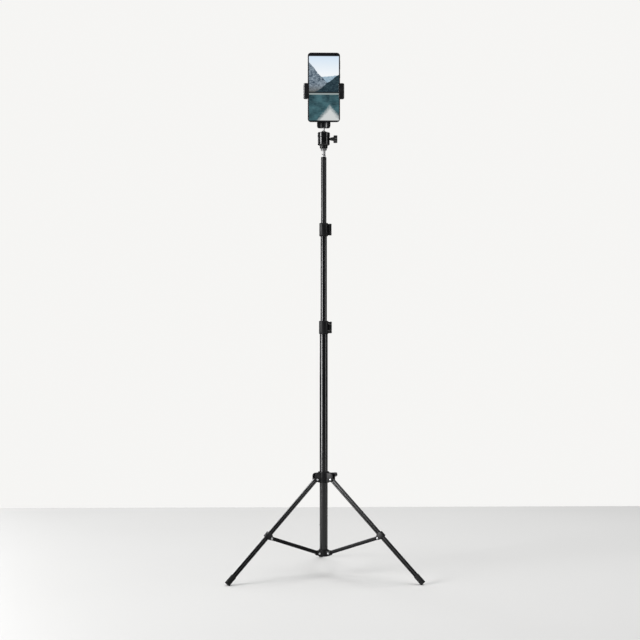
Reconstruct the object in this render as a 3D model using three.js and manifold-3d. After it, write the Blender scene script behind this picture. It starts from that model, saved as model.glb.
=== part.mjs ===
// A smartphone in a spring clamp, on a ball head, on a folding three-section light stand.
//
// Millimetres, +Z up, the screen faces -Y. The model stands on the plane z = 0 with the centre
// of its footprint on the Z axis. Every sub-part is one closed solid in its own named mesh.

import * as THREE from 'three';
import { mergeVertices } from 'three/addons/utils/BufferGeometryUtils.js';
import Module from 'manifold-3d';

const wasm = await Module();
wasm.setup();

// ---------------------------------------------------------------- driving dimensions

// gaps and facets
const FIT = 0.3; // between pieces that touch, slide or turn on each other
const SNUG = 0.2; // between a piece and the one pushed into or over it
const ROUND = 24; // facets of a large round
const SMALL_ROUND = 12; // facets of a pin or a small round

// legs: a light section, pivoted on the sliding spider
const LEG_LENGTH = 324; // spider pivot to the end of the foot
const LEG_SPREAD = 46.5; // degrees from the mast
const LEG_DEPTH = 10; // in the plane in which the leg folds
const LEG_WIDTH = 8; // across that plane
const LEG_WALL = 1.2;
const LEG_CORNER = 2.2;
const LEG_GROOVE = { width: 3, depth: 0.5 };
const LEG_PIVOT_OUT = 11.5; // pivot to the outside of the lower tube

// foot caps
const FOOT_WALL = 0.8;
const FOOT_LENGTH = 24;
const FOOT_SOLE = 3.7; // rubber past the end of the leg
const FOOT_CENTRE_Z = 3.3; // height of the centre of the foot's end above the floor

// braces: a folded channel from the bottom hub to a bracket on the leg
const BRACE_AT = 177; // bracket rivet, along the leg from the spider pivot
const BRACE_DROP = 9; // bracket rivet, below the leg's centre line
const BRACE_WIDTH = 7;
const BRACE_SHEET = 1;
const BRACE_LIP = 3.6; // pivot line to the channel's open edge
const BRACE_BACK = 4.8; // pivot line to the channel's back
const BRACE_END = 9; // open length of the channel at each pivot

// leg brackets
const BRACKET_SHEET = 1.6;
const BRACKET_LENGTH = 14;
const BRACKET_EAR_R = 3.5;
const BRACKET_BOSS = { radius: 2.8, height: 1 };

// rivets
const RIVET_R = 1.5;
const RIVET_HEAD = { radius: 2.6, height: 1.1 };

// bottom hub
const HUB_PIVOT_OUT = 5.5; // pivot to the outside of the lower tube
const HUB_PIVOT_Z = 52.6;
const HUB_HEIGHT = 15;
const HUB_PIVOT_RISE = 7.6; // pivot above the hub's underside
const HUB_FLOOR = 2;
const HUB_WALL = 2.4;
const HUB_EAR = { radius: 6, sheet: 2.2 };

// spider: the collar that slides on the mast and carries the legs
const SPIDER_HEIGHT = 26;
const SPIDER_PIVOT_RISE = 8.5; // leg pivots above the spider's underside
const SPIDER_WALL = 3.2;
const SPIDER_EAR = { radius: 6, sheet: 2.6, top: 14.5 }; // top is measured from the pivot
const SPIDER_BOSS = { radius: 5.5, out: 7, rise: 8.7 }; // seat of the lock knob, out from the lower tube

// mast
const TUBE_WALL = 0.8;
const LOWER_TUBE_R = 9.5;
const MID_TUBE_R = 7.6;
const TOP_TUBE_R = 6.5;
const LOWER_TUBE_LENGTH = 534.7;
const MID_TUBE_LENGTH = 502;
const TOP_TUBE_LENGTH = 478.5;
const MID_SHOWING = 199; // bare middle tube between the two collars
const TOP_SHOWING = 152.5; // bare top tube above the upper collar
const BUSH_LENGTH = 20;
const BUSH_FLANGE = 3.5;

// clamp collars with a flip lever
const COLLAR_HEIGHT = 31;
const COLLAR_SEAT = 15; // depth of the tube that the collar grips
const COLLAR_LOWER_WALL = 1.3; // round the tube that the collar grips
const COLLAR_UPPER_WALL = 2.55;
const COLLAR_CHAMFER = 1;
const COLLAR_LUG = { radius: 3.2, height: 16 };
const LEVER = { height: 27, sheet: 2.2, barrel: 3.9, from: -128, to: -14, pinOut: 4.2, pinFront: 3.5 };

// top fitting
const CAP = { plug: 15, rim: 1.9, bore: 3.3 };
const SPIGOT = { shank: 3, bulge: 4.6, bulgeTop: 5, neck: 4.1, neckTop: 15.8, nut: 7.3, nutTop: 20.5 };
const THREAD_R = 3.1;
const THREAD_RISE = 9.5; // thread above the spigot's nut

// ball head
const HEAD_R = 14.6;
const HEAD_WAIST_R = 14.2;
const HEAD_HEIGHT = 31;
const HEAD_FLOOR = 4;
const HEAD_CAVITY_GAP = 2.3; // ball to the bore below it
const HEAD_BASE = { radius: 9.2, height: 6.2 };
const BALL_R = 7.5;
const BALL_SINK = 3.5; // ball centre below the rim of the housing
const STEM_R = 2.5;
const STEM_RISE = 13.8; // ball centre to the underside of the clamp foot
const STEM_THREAD = 9.2;
const HEAD_KNOB_RISE = 15.6;

// clamp foot and arm
const CLAMP_FOOT = { width: 31.5, depth: 16, height: 18, corner: 4.5 };
const CLAMP_ARM = { radius: 9, front: -3, back: 2 };
const CLAMP_PIVOT_RISE = 84.7; // pivot above the underside of the clamp foot
const PIVOT_SCREW = { shank: 3, head: 8, headDepth: 6 };

// clamp bar and jaws
const BAR = { front: -10.6, back: -3.3, height: 30, corner: 3 };
const JAW = { height: 35, corner: 5, wall: 8.3, crown: 1.4, lip: 2, overlap: 3.2 };
const PAD = 2.2;
// a guide rod's pocket is measured from the phone's left side
const ROD = { radius: 2, rise: 11.3, left: -12, pocket: 5.75 };
const SPRING = { radius: 1.6, rise: 6.2 };

// phone
const PHONE = { width: 75.5, height: 162, depth: 8, corner: 7.5, rise: 8.4 };
const PHONE_RIM = 1.2; // frame showing round the glass
const GLASS = 1;
const BACK_COVER = 0.7;
const PHONE_WALL = 3;
const MIDPLATE = 1;
const BATTERY = { side: 13.75, below: 6, above: 14, depth: 4 }; // margins to the walls and the board
const BOARD = { side: 3.75, above: 4, height: 44, depth: 0.9 }; // margins to the walls
const ISLAND = { width: 26, height: 38, corner: 7, depth: 1.4 };
const KEY = { depth: 2, proud: 0.45, flange: 1 };
const POWER_KEY = { centre: 27, length: 10 };
const VOLUME_KEY = { centre: 52, length: 20 };

// ---------------------------------------------------------------- sizes that follow

const hubPivotR = LOWER_TUBE_R + HUB_PIVOT_OUT;
const legPivotR = LOWER_TUBE_R + LEG_PIVOT_OUT;
const knobSeatR = LOWER_TUBE_R + SPIDER_BOSS.out;
const lowerCollarR = LOWER_TUBE_R + SNUG + COLLAR_LOWER_WALL;
const upperCollarR = MID_TUBE_R + SNUG + COLLAR_UPPER_WALL;
const headCavityR = BALL_R + HEAD_CAVITY_GAP;

const spread = THREE.MathUtils.degToRad(LEG_SPREAD);
const spiderPivotZ = FOOT_CENTRE_Z + LEG_LENGTH * Math.cos(spread);
const bracketR = legPivotR + BRACE_AT * Math.sin(spread) - BRACE_DROP * Math.cos(spread);
const bracketZ = spiderPivotZ - BRACE_AT * Math.cos(spread) - BRACE_DROP * Math.sin(spread);
const braceLength = Math.hypot(bracketR - hubPivotR, bracketZ - HUB_PIVOT_Z);
const braceRise = Math.atan2(bracketZ - HUB_PIVOT_Z, bracketR - hubPivotR);

const hubZ = HUB_PIVOT_Z - HUB_PIVOT_RISE;
const lowerTubeZ = hubZ + HUB_FLOOR + FIT;
const lowerCollarZ = lowerTubeZ + LOWER_TUBE_LENGTH - COLLAR_SEAT;
const upperCollarZ = lowerCollarZ + COLLAR_HEIGHT + MID_SHOWING;
const midTubeZ = upperCollarZ + COLLAR_SEAT - MID_TUBE_LENGTH;
const topTubeTop = upperCollarZ + COLLAR_HEIGHT + TOP_SHOWING;
const topTubeZ = topTubeTop - TOP_TUBE_LENGTH;
const spigotZ = topTubeTop + FIT + CAP.rim + FIT;
const headBaseZ = spigotZ + SPIGOT.nutTop + FIT;
const headZ = headBaseZ + HEAD_BASE.height + FIT;
const ballZ = headZ + HEAD_HEIGHT - BALL_SINK;
const clampFootZ = ballZ + STEM_RISE;
const clampPivotZ = clampFootZ + CLAMP_PIVOT_RISE;

const braceSlot = BRACE_WIDTH + 2 * FIT; // between the hub's ears
const legSlot = LEG_WIDTH + 2 * FIT; // between the spider's ears and the bracket's sides
const pinHole = RIVET_R + FIT;
const phoneY = BAR.front - FIT - PHONE.depth / 2;
const jawFace = PHONE.width / 2 + FIT; // inner face of a pad
const jawWallFace = jawFace + PAD + FIT; // face of the jaw behind the pad
const barMidY = (BAR.front + BAR.back) / 2;

// ---------------------------------------------------------------- solids

// Closed three.js geometry as a solid, whichever way its faces were wound.
function solidOf(geometry) {
  const bare = geometry.clone();
  bare.deleteAttribute('normal');
  bare.deleteAttribute('uv');
  const merged = mergeVertices(bare, 1e-4);
  const points = merged.attributes.position;
  const corners = Array.from({ length: 3 }, () => new THREE.Vector3());
  const faces = [];
  let volume = 0;
  for (let i = 0; i < merged.index.count; i += 3) {
    const face = [0, 1, 2].map((k) => merged.index.getX(i + k));
    if (new Set(face).size < 3) continue;
    face.forEach((vertex, k) => corners[k].fromBufferAttribute(points, vertex));
    volume += corners[0].dot(corners[1].clone().cross(corners[2]));
    faces.push(face);
  }
  const triVerts = new Uint32Array(faces.flatMap(([a, b, c]) => (volume < 0 ? [a, c, b] : [a, b, c])));
  const vertProperties = new Float32Array(points.array);
  return new wasm.Manifold(new wasm.Mesh({ numProp: 3, vertProperties, triVerts }));
}

function join(first, ...others) {
  return others.reduce((whole, piece) => whole.add(piece), first);
}

function cut(first, ...others) {
  return others.reduce((whole, piece) => whole.subtract(piece), first);
}

// A solid turned about Z from [radius, z] points; the profile starts and ends on the axis,
// or closes on itself.
function turned(profile, facets = ROUND) {
  const points = profile.map(([radius, z]) => new THREE.Vector2(radius, z));
  return solidOf(new THREE.LatheGeometry(points, facets).rotateX(Math.PI / 2));
}

function ring(inner, outer, from, to, facets = ROUND) {
  return turned([[inner, from], [outer, from], [outer, to], [inner, to], [inner, from]], facets);
}

// Round bars along each axis, from one coordinate to another.
function barZ(radius, from, to, x = 0, y = 0, facets = SMALL_ROUND) {
  const bar = new THREE.CylinderGeometry(radius, radius, to - from, facets).rotateX(Math.PI / 2);
  return solidOf(bar.translate(x, y, (from + to) / 2));
}

function barY(radius, from, to, x = 0, z = 0, facets = SMALL_ROUND) {
  const bar = new THREE.CylinderGeometry(radius, radius, to - from, facets);
  return solidOf(bar.translate(x, (from + to) / 2, z));
}

function barX(radius, from, to, y = 0, z = 0, facets = SMALL_ROUND) {
  const bar = new THREE.CylinderGeometry(radius, radius, to - from, facets).rotateZ(-Math.PI / 2);
  return solidOf(bar.translate((from + to) / 2, y, z));
}

function block([x0, x1], [y0, y1], [z0, z1]) {
  const box = new THREE.BoxGeometry(x1 - x0, y1 - y0, z1 - z0);
  return solidOf(box.translate((x0 + x1) / 2, (y0 + y1) / 2, (z0 + z1) / 2));
}

function ball(radius, z) {
  const sphere = new THREE.SphereGeometry(radius, ROUND, ROUND / 2);
  return solidOf(sphere.rotateX(Math.PI / 2).translate(0, 0, z));
}

// A plate whose outline is drawn in X and Z, between two values of Y.
function plateY(outline, from, to, curve = 4) {
  const options = { depth: to - from, bevelEnabled: false, curveSegments: curve };
  const plate = new THREE.ExtrudeGeometry(outline, options);
  return solidOf(plate.rotateX(Math.PI / 2).translate(0, to, 0));
}

// A plate whose outline is drawn in X and Y, between two values of Z.
function plateZ(outline, from, to, curve = 4) {
  const options = { depth: to - from, bevelEnabled: false, curveSegments: curve };
  const plate = new THREE.ExtrudeGeometry(outline, options);
  return solidOf(plate.translate(0, 0, from));
}

function roundedBox(width, height, corner, path = new THREE.Shape()) {
  const x = width / 2;
  const y = height / 2;
  path.moveTo(-x + corner, -y);
  path.lineTo(x - corner, -y);
  path.absarc(x - corner, -y + corner, corner, -Math.PI / 2, 0);
  path.lineTo(x, y - corner);
  path.absarc(x - corner, y - corner, corner, 0, Math.PI / 2);
  path.lineTo(-x + corner, y);
  path.absarc(-x + corner, y - corner, corner, Math.PI / 2, Math.PI);
  path.lineTo(-x, -y + corner);
  path.absarc(-x + corner, -y + corner, corner, Math.PI, Math.PI * 1.5);
  return path;
}

// ---------------------------------------------------------------- meshes

const FINISHES = {
  tube: [0x16161a, 0.3, 0.5],
  plastic: [0x232325, 0.5, 0],
  rubber: [0x1b1b1c, 0.85, 0],
  steel: [0xc9cacc, 0.25, 1],
  gloss: [0x0b0b0c, 0.15, 0.2],
  glass: [0x10161a, 0.08, 0],
  battery: [0x2c2f33, 0.6, 0],
  board: [0x1f4a34, 0.55, 0],
};

function mesh(name, finish, solid) {
  const { vertProperties, triVerts } = solid.getMesh();
  const geometry = new THREE.BufferGeometry();
  geometry.setAttribute('position', new THREE.Float32BufferAttribute(vertProperties, 3));
  geometry.setIndex(new THREE.Uint32BufferAttribute(triVerts, 1));
  const [color, roughness, metalness] = FINISHES[finish];
  const piece = new THREE.Mesh(geometry, new THREE.MeshStandardMaterial({ color, roughness, metalness }));
  piece.name = name;
  return piece;
}

function group(children, { x = 0, y = 0, z = 0, tilt = 0, turn = 0 } = {}) {
  const holder = new THREE.Group();
  holder.add(...children);
  holder.position.set(x, y, z);
  holder.rotation.set(0, tilt, turn);
  return holder;
}

// ---------------------------------------------------------------- legs and braces

// A rivet along Y that holds a stack of the given width, centred on the origin.
function rivet(grip) {
  const face = grip / 2 + SNUG;
  const edge = face + RIVET_HEAD.height * 0.4;
  const crown = face + RIVET_HEAD.height;
  const head = RIVET_HEAD.radius;
  const half = [[RIVET_R, face], [head, face], [head, edge], [RIVET_R, crown], [0, crown]];
  const mirrored = half.map(([radius, z]) => [radius, -z]).reverse();
  const points = [...mirrored, ...half].map(([radius, z]) => new THREE.Vector2(radius, z));
  return solidOf(new THREE.LatheGeometry(points, SMALL_ROUND));
}

// Outline of the leg's section: x runs across the fold plane's depth, y across its width.
function legSection() {
  const section = new THREE.Shape();
  const x = LEG_DEPTH / 2;
  const y = LEG_WIDTH / 2;
  const c = LEG_CORNER;
  const half = LEG_GROOVE.width / 2;
  const bed = y - LEG_GROOVE.depth;
  const slope = LEG_GROOVE.depth;
  section.moveTo(-x + c, -y);
  section.lineTo(-half, -y);
  section.lineTo(-half + slope, -bed);
  section.lineTo(half - slope, -bed);
  section.lineTo(half, -y);
  section.lineTo(x - c, -y);
  section.absarc(x - c, -y + c, c, -Math.PI / 2, 0);
  section.absarc(x - c, y - c, c, 0, Math.PI / 2);
  section.lineTo(half, y);
  section.lineTo(half - slope, bed);
  section.lineTo(-half + slope, bed);
  section.lineTo(-half, y);
  section.absarc(-x + c, y - c, c, Math.PI / 2, Math.PI);
  section.absarc(-x + c, -y + c, c, Math.PI, Math.PI * 1.5);
  const hollow = [LEG_DEPTH - 2 * LEG_WALL, LEG_WIDTH - 2 * LEG_WALL];
  section.holes.push(roundedBox(...hollow, LEG_CORNER / 2, new THREE.Path()));
  return section;
}

// A section drawn with the leg's depth along x, run along X from one place to another.
function alongX(section, from, to) {
  const options = { depth: to - from, bevelEnabled: false, curveSegments: 3 };
  const bar = new THREE.ExtrudeGeometry(section, options);
  return solidOf(bar.rotateY(Math.PI / 2).translate(from, 0, 0));
}

function legTube() {
  const nose = LEG_DEPTH / 2;
  const end = LEG_LENGTH - FOOT_SOLE - SNUG;
  const wide = LEG_WIDTH;
  const straight = block([0, end + 1], [-wide, wide], [-wide, wide]);
  const rounded = join(barY(nose, -wide, wide, 0, 0, ROUND), straight);
  const bore = barY(pinHole, -wide, wide);
  return alongX(legSection(), -nose, end).intersect(rounded).subtract(bore);
}

function legPin() {
  return barY(RIVET_R, -LEG_WIDTH / 2, LEG_WIDTH / 2);
}

// The cap is drawn where the spread leg holds it, so that its sole is cut flat by the floor.
function footCap() {
  const grow = 2 * (SNUG + FOOT_WALL);
  const start = LEG_LENGTH - FOOT_LENGTH;
  const outer = roundedBox(LEG_DEPTH + grow, LEG_WIDTH + grow, LEG_CORNER + SNUG + FOOT_WALL);
  const inner = roundedBox(LEG_DEPTH + 2 * SNUG, LEG_WIDTH + 2 * SNUG, LEG_CORNER);
  const cap = cut(alongX(outer, start, LEG_LENGTH), alongX(inner, start - 1, LEG_LENGTH - FOOT_SOLE));
  const { vertProperties, triVerts } = cap.getMesh();
  const geometry = new THREE.BufferGeometry();
  geometry.setAttribute('position', new THREE.Float32BufferAttribute(vertProperties, 3));
  geometry.setIndex(new THREE.Uint32BufferAttribute(triVerts, 1));
  geometry.rotateY(Math.PI / 2 - spread).translate(legPivotR, 0, spiderPivotZ);
  const reach = legPivotR + LEG_LENGTH;
  return cut(solidOf(geometry), block([0, reach], [-LEG_WIDTH, LEG_WIDTH], [-LEG_DEPTH, 0]));
}

// Sheet bracket wrapped over the leg, with two ears below it for the brace; its rivet is at the origin.
function legBracket() {
  const half = BRACKET_LENGTH / 2;
  const legTop = BRACE_DROP + LEG_DEPTH / 2 + SNUG;
  const top = legTop + BRACKET_SHEET;
  const outline = new THREE.Shape();
  outline.moveTo(-half, BRACE_DROP - LEG_DEPTH / 2);
  outline.lineTo(-BRACKET_EAR_R, 0);
  outline.absarc(0, 0, BRACKET_EAR_R, Math.PI, Math.PI * 2);
  outline.lineTo(half, BRACE_DROP - LEG_DEPTH / 2);
  outline.lineTo(half, top - BRACKET_SHEET);
  outline.absarc(half - BRACKET_SHEET, top - BRACKET_SHEET, BRACKET_SHEET, 0, Math.PI / 2);
  outline.absarc(-half + BRACKET_SHEET, top - BRACKET_SHEET, BRACKET_SHEET, Math.PI / 2, Math.PI);
  const reach = legSlot / 2 + BRACKET_SHEET;
  const wrapped = plateY(outline, -reach, reach);
  const boss = barZ(BRACKET_BOSS.radius, legTop + BRACKET_SHEET / 2, top + BRACKET_BOSS.height);
  const room = block([-2 * half, 2 * half], [-legSlot / 2, legSlot / 2], [-2 * BRACE_DROP, legTop]);
  return cut(join(wrapped, boss), room, barY(pinHole, -2 * reach, 2 * reach));
}

// Channel with its open side down, from the hub's rivet at the origin to the bracket's rivet.
function brace() {
  const outline = new THREE.Shape();
  outline.moveTo(0, -BRACE_LIP);
  outline.lineTo(braceLength, -BRACE_LIP);
  outline.absarc(braceLength, 0, BRACE_LIP, -Math.PI / 2, Math.PI / 2);
  outline.lineTo(braceLength - BRACE_END, BRACE_BACK);
  outline.lineTo(BRACE_END, BRACE_BACK);
  outline.lineTo(0, BRACE_LIP);
  outline.absarc(0, 0, BRACE_LIP, Math.PI / 2, Math.PI * 1.5);
  const half = BRACE_WIDTH / 2;
  const inside = [-half + BRACE_SHEET, half - BRACE_SHEET];
  const past = 2 * BRACE_LIP;
  const channel = block([-past, braceLength + past], inside, [-past, BRACE_BACK - BRACE_SHEET]);
  const ends = [[-past, BRACE_END], [braceLength - BRACE_END, braceLength + past]];
  const openings = ends.map((span) => block(span, inside, [-past, 2 * BRACE_BACK]));
  const bores = [0, braceLength].map((x) => barY(pinHole, -BRACE_WIDTH, BRACE_WIDTH, x));
  return cut(plateY(outline, -half, half), channel, ...openings, ...bores);
}

// ---------------------------------------------------------------- hub and spider

const LEGS = [['left', 210], ['right', 330], ['rear', 90]];
const KNOB_AZIMUTH = 30; // the lock knob stands between the right leg and the rear leg

function aroundMast(solid, degrees) {
  return solid.rotate([0, 0, degrees]);
}

// A plate of a fork: it leaves the body at the given radius and ends in a round about the pivot.
function forkPlate(from, pivotR, pivotZ, radius) {
  const outline = new THREE.Shape();
  outline.moveTo(from, pivotZ - radius);
  outline.lineTo(pivotR, pivotZ - radius);
  outline.absarc(pivotR, pivotZ, radius, -Math.PI / 2, Math.PI / 2);
  outline.lineTo(from, pivotZ + radius);
  return outline;
}

function bottomHub() {
  const boreR = LOWER_TUBE_R + FIT;
  const outerR = boreR + HUB_WALL;
  const slotFrom = boreR + 1;
  const earTo = braceSlot / 2 + HUB_EAR.sheet;
  const far = hubPivotR + 2 * HUB_EAR.radius;
  const top = HUB_HEIGHT;
  let hub = turned([[0, 0], [outerR - 1, 0], [outerR, 1], [outerR, top - 1], [outerR - 1, top], [0, top]]);
  for (const [, azimuth] of LEGS) {
    const ears = plateY(forkPlate(boreR, hubPivotR, HUB_PIVOT_RISE, HUB_EAR.radius), -earTo, earTo);
    hub = hub.add(aroundMast(ears, azimuth));
  }
  for (const [, azimuth] of LEGS) {
    const slot = block([slotFrom, far], [-braceSlot / 2, braceSlot / 2], [-1, HUB_HEIGHT + 1]);
    const bore = barY(pinHole, -2 * earTo, 2 * earTo, hubPivotR, HUB_PIVOT_RISE);
    hub = cut(hub, aroundMast(slot, azimuth), aroundMast(bore, azimuth));
  }
  return hub.subtract(barZ(boreR, HUB_FLOOR, HUB_HEIGHT + 1, 0, 0, ROUND));
}

function spiderEar() {
  const { radius, top } = SPIDER_EAR;
  const tip = legPivotR + radius;
  const from = LOWER_TUBE_R + FIT + SPIDER_WALL / 2;
  const outline = new THREE.Shape();
  outline.moveTo(from, -SPIDER_PIVOT_RISE + 1);
  outline.lineTo(legPivotR - radius / 2, -radius);
  outline.lineTo(legPivotR, -radius);
  outline.absarc(legPivotR, 0, radius, -Math.PI / 2, 0);
  outline.absarc(tip - radius, top - radius, radius, 0, Math.PI / 2);
  outline.lineTo(from, top + 1);
  return outline;
}

function spiderCollar() {
  const boreR = LOWER_TUBE_R + FIT;
  const outerR = boreR + SPIDER_WALL;
  const base = -SPIDER_PIVOT_RISE;
  const top = base + SPIDER_HEIGHT;
  const earTo = legSlot / 2 + SPIDER_EAR.sheet;
  const headTo = earTo + RIVET_HEAD.height;
  const far = legPivotR + 2 * SPIDER_EAR.radius;
  const edge = [[outerR - 1, base], [outerR, base + 1], [outerR, top - 1], [outerR - 1, top]];
  const sleeve = turned([[0, base], ...edge, [0, top]]);
  const boss = barX(SPIDER_BOSS.radius, boreR, knobSeatR, 0, SPIDER_BOSS.rise);
  let spider = sleeve.add(aroundMast(boss, KNOB_AZIMUTH));
  for (const [, azimuth] of LEGS) {
    const ears = plateY(spiderEar(), -earTo, earTo);
    const heads = barY(RIVET_HEAD.radius, -headTo, headTo, legPivotR);
    const slot = block([outerR, far], [-legSlot / 2, legSlot / 2], [base - 1, top + 1]);
    spider = spider.add(aroundMast(cut(join(ears, heads), slot), azimuth));
  }
  const stud = barX(THREAD_R - SNUG, 0, 2 * knobSeatR, 0, SPIDER_BOSS.rise);
  return cut(spider, barZ(boreR, base - 1, top + 1, 0, 0, ROUND), aroundMast(stud, KNOB_AZIMUTH));
}

// A lobed hand knob along X: stud, tapered neck and lobed head.
function lobedKnob({ studR, studFrom, neckFrom, neckR, headFrom, headTo, headR, lobes }) {
  const outline = new THREE.Shape();
  const steps = lobes * 6;
  const depth = headR * 0.14;
  for (let i = 0; i < steps; i += 1) {
    const angle = (i / steps) * Math.PI * 2;
    const radius = headR - depth + depth * Math.cos(angle * lobes);
    const point = [radius * Math.cos(angle), radius * Math.sin(angle)];
    if (i === 0) outline.moveTo(...point);
    else outline.lineTo(...point);
  }
  const head = new THREE.ExtrudeGeometry(outline, { depth: headTo - headFrom, bevelEnabled: false });
  head.rotateY(Math.PI / 2).translate(headFrom, 0, 0);
  const root = headFrom + 1;
  const neck = [[studR, neckFrom], [neckR, headFrom], [neckR, root]];
  const stalk = [[0, studFrom], [studR, studFrom], ...neck, [0, root]];
  const points = stalk.map(([radius, x]) => new THREE.Vector2(radius, x));
  const turnedStalk = new THREE.LatheGeometry(points, SMALL_ROUND).rotateZ(-Math.PI / 2);
  return join(solidOf(turnedStalk), solidOf(head));
}

// ---------------------------------------------------------------- mast

// Where a collar's lever turns, from the mast axis.
function leverPin(radius) {
  return { x: radius + LEVER.pinOut, y: -LEVER.pinFront };
}

// Collar gripping the end of a tube of radius gripR, through which a tube of radius passR slides.
function clampCollar(radius, gripR, passR) {
  const c = COLLAR_CHAMFER;
  const top = COLLAR_HEIGHT;
  const pin = leverPin(radius);
  const lugZ = [(top - COLLAR_LUG.height) / 2, (top + COLLAR_LUG.height) / 2];
  const profile = [[0, 0], [radius - c, 0], [radius, c], [radius, top - c], [radius - c, top], [0, top]];
  const body = turned(profile);
  const neck = block([0, pin.x], [pin.y - COLLAR_LUG.radius, pin.y + COLLAR_LUG.radius], lugZ);
  const knuckle = barZ(COLLAR_LUG.radius, ...lugZ, pin.x, pin.y);
  const split = block([0, 2 * radius], [1, 2.5], [COLLAR_SEAT + 2, top + 1]).rotate([0, 0, 35]);
  return cut(
    join(body, neck, knuckle),
    barZ(gripR + SNUG, -1, COLLAR_SEAT + FIT, 0, 0, ROUND),
    barZ(passR + FIT, -1, top + 1, 0, 0, ROUND),
    barZ(pinHole, -1, top + 1, pin.x, pin.y),
    split,
  );
}

// Flip lever wrapped round the front of a collar, with its turning axis on the Z axis.
function flipLever(radius) {
  const pin = leverPin(radius);
  const inner = radius + FIT;
  const outer = inner + LEVER.sheet;
  const from = THREE.MathUtils.degToRad(LEVER.from);
  const to = THREE.MathUtils.degToRad(LEVER.to);
  const wrap = new THREE.Shape();
  wrap.absarc(-pin.x, -pin.y, outer, from, to);
  wrap.absarc(-pin.x, -pin.y, inner, to, from, true);
  const half = LEVER.height / 2;
  const bead = LEVER.sheet * 0.75;
  const beadX = -pin.x + (outer - bead / 2) * Math.cos(from);
  const beadY = -pin.y + (outer - bead / 2) * Math.sin(from);
  const lever = join(
    plateZ(wrap, -half, half, 10),
    barZ(LEVER.barrel, -half, half),
    barZ(bead, -half, half, beadX, beadY),
  );
  const lugRoom = COLLAR_LUG.height / 2 + FIT;
  const window = block([-LEVER.barrel - 2.5, 2 * LEVER.barrel], [-radius, radius], [-lugRoom, lugRoom]);
  const pinBore = barZ(pinHole, -half - 1, half + 1);
  const collarSpace = barZ(inner, -half - 1, half + 1, -pin.x, -pin.y, 48);
  return cut(lever, window, pinBore, collarSpace);
}

function collarPin() {
  const half = LEVER.height / 2 + RIVET_HEAD.height / 2;
  return barZ(RIVET_R, -half, half);
}

function collarPieces(which, radius, gripR, passR) {
  const pin = leverPin(radius);
  const place = { ...pin, z: COLLAR_HEIGHT / 2 };
  return [
    mesh(`${which}_collar`, 'plastic', clampCollar(radius, gripR, passR)),
    group([
      mesh(`${which}_collar_pin`, 'steel', collarPin()),
      mesh(`${which}_lever`, 'plastic', flipLever(radius)),
    ], place),
  ];
}

// Glide ring on the outside of a tube's lower end, running in the tube round it.
function outerBush(tubeR, roundItR) {
  const bore = tubeR + SNUG;
  const outside = roundItR - TUBE_WALL - FIT;
  const lip = tubeR - TUBE_WALL;
  const floor = -BUSH_FLANGE;
  const wall = [[lip, floor], [outside, floor], [outside, BUSH_LENGTH], [bore, BUSH_LENGTH]];
  return turned([...wall, [bore, -SNUG], [lip, -SNUG], [lip, floor]]);
}

// Plug in a tube's lower end.
function plugBush(tubeR) {
  const plug = tubeR - TUBE_WALL - SNUG;
  const hollow = plug - 1.5;
  const floor = -BUSH_FLANGE;
  const wall = [[tubeR, floor], [tubeR, -SNUG], [plug, -SNUG], [plug, BUSH_LENGTH], [hollow, BUSH_LENGTH]];
  return turned([[0, floor], ...wall, [hollow, 0], [0, 0]]);
}

function topCap() {
  const plug = TOP_TUBE_R - TUBE_WALL - SNUG;
  const rim = TOP_TUBE_R;
  const { bore } = CAP;
  return turned([
    [bore, -CAP.plug], [plug, -CAP.plug], [plug, FIT], [rim, FIT], [rim, CAP.rim - 0.5],
    [rim - 0.5, CAP.rim + FIT], [bore, CAP.rim + FIT], [bore, -CAP.plug],
  ]);
}

function spigot() {
  const { shank, bulge, bulgeTop, neck, neckTop, nutTop } = SPIGOT;
  const stud = turned([
    [0, -CAP.plug], [shank, -CAP.plug], [shank, 0], [bulge - 0.8, 0], [bulge, 1], [bulge, bulgeTop - 1],
    [neck, bulgeTop], [neck, neckTop + 1], [0, neckTop + 1],
  ]);
  const nut = barZ(SPIGOT.nut, neckTop, nutTop, 0, 0, 6);
  return join(stud, nut, barZ(THREAD_R, neckTop, nutTop + THREAD_RISE));
}

// ---------------------------------------------------------------- ball head

function headBase() {
  const { radius, height } = HEAD_BASE;
  const bore = THREAD_R + FIT;
  const rim = [[radius - 0.6, 0], [radius, 0.6], [radius, height - 0.6], [radius - 0.6, height]];
  return turned([[bore, 0], ...rim, [bore, height], [bore, 0]]);
}

function headHousing() {
  const top = HEAD_HEIGHT;
  const step = HEAD_HEIGHT - 11;
  const centre = HEAD_HEIGHT - BALL_SINK;
  const body = turned([
    [0, 0], [HEAD_WAIST_R - 3, 0], [HEAD_WAIST_R, 3], [HEAD_WAIST_R, step], [HEAD_R, step + 0.4],
    [HEAD_R, top - 1.5], [HEAD_R - 1.5, top], [0, top],
  ]);
  return cut(
    body,
    barZ(headCavityR, HEAD_FLOOR, centre, 0, 0, ROUND),
    ball(BALL_R + FIT, centre),
    barZ(THREAD_R + FIT, -1, HEAD_FLOOR + 1),
    barX(THREAD_R - SNUG, 0, 2 * HEAD_R, 0, HEAD_KNOB_RISE),
  );
}

function ballSeat() {
  const outside = headCavityR - FIT;
  const centre = HEAD_HEIGHT - BALL_SINK;
  const cup = barZ(outside, HEAD_FLOOR + FIT, centre - BALL_R / 3, 0, 0, ROUND);
  return cut(cup, ball(BALL_R + FIT, centre));
}

function ballStem() {
  const stem = join(
    barZ(STEM_R, BALL_R / 2, STEM_RISE + 1),
    barZ(THREAD_R - SNUG, STEM_RISE, STEM_RISE + STEM_THREAD),
  );
  return stem.subtract(ball(BALL_R + FIT, 0));
}

// ---------------------------------------------------------------- phone clamp

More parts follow.
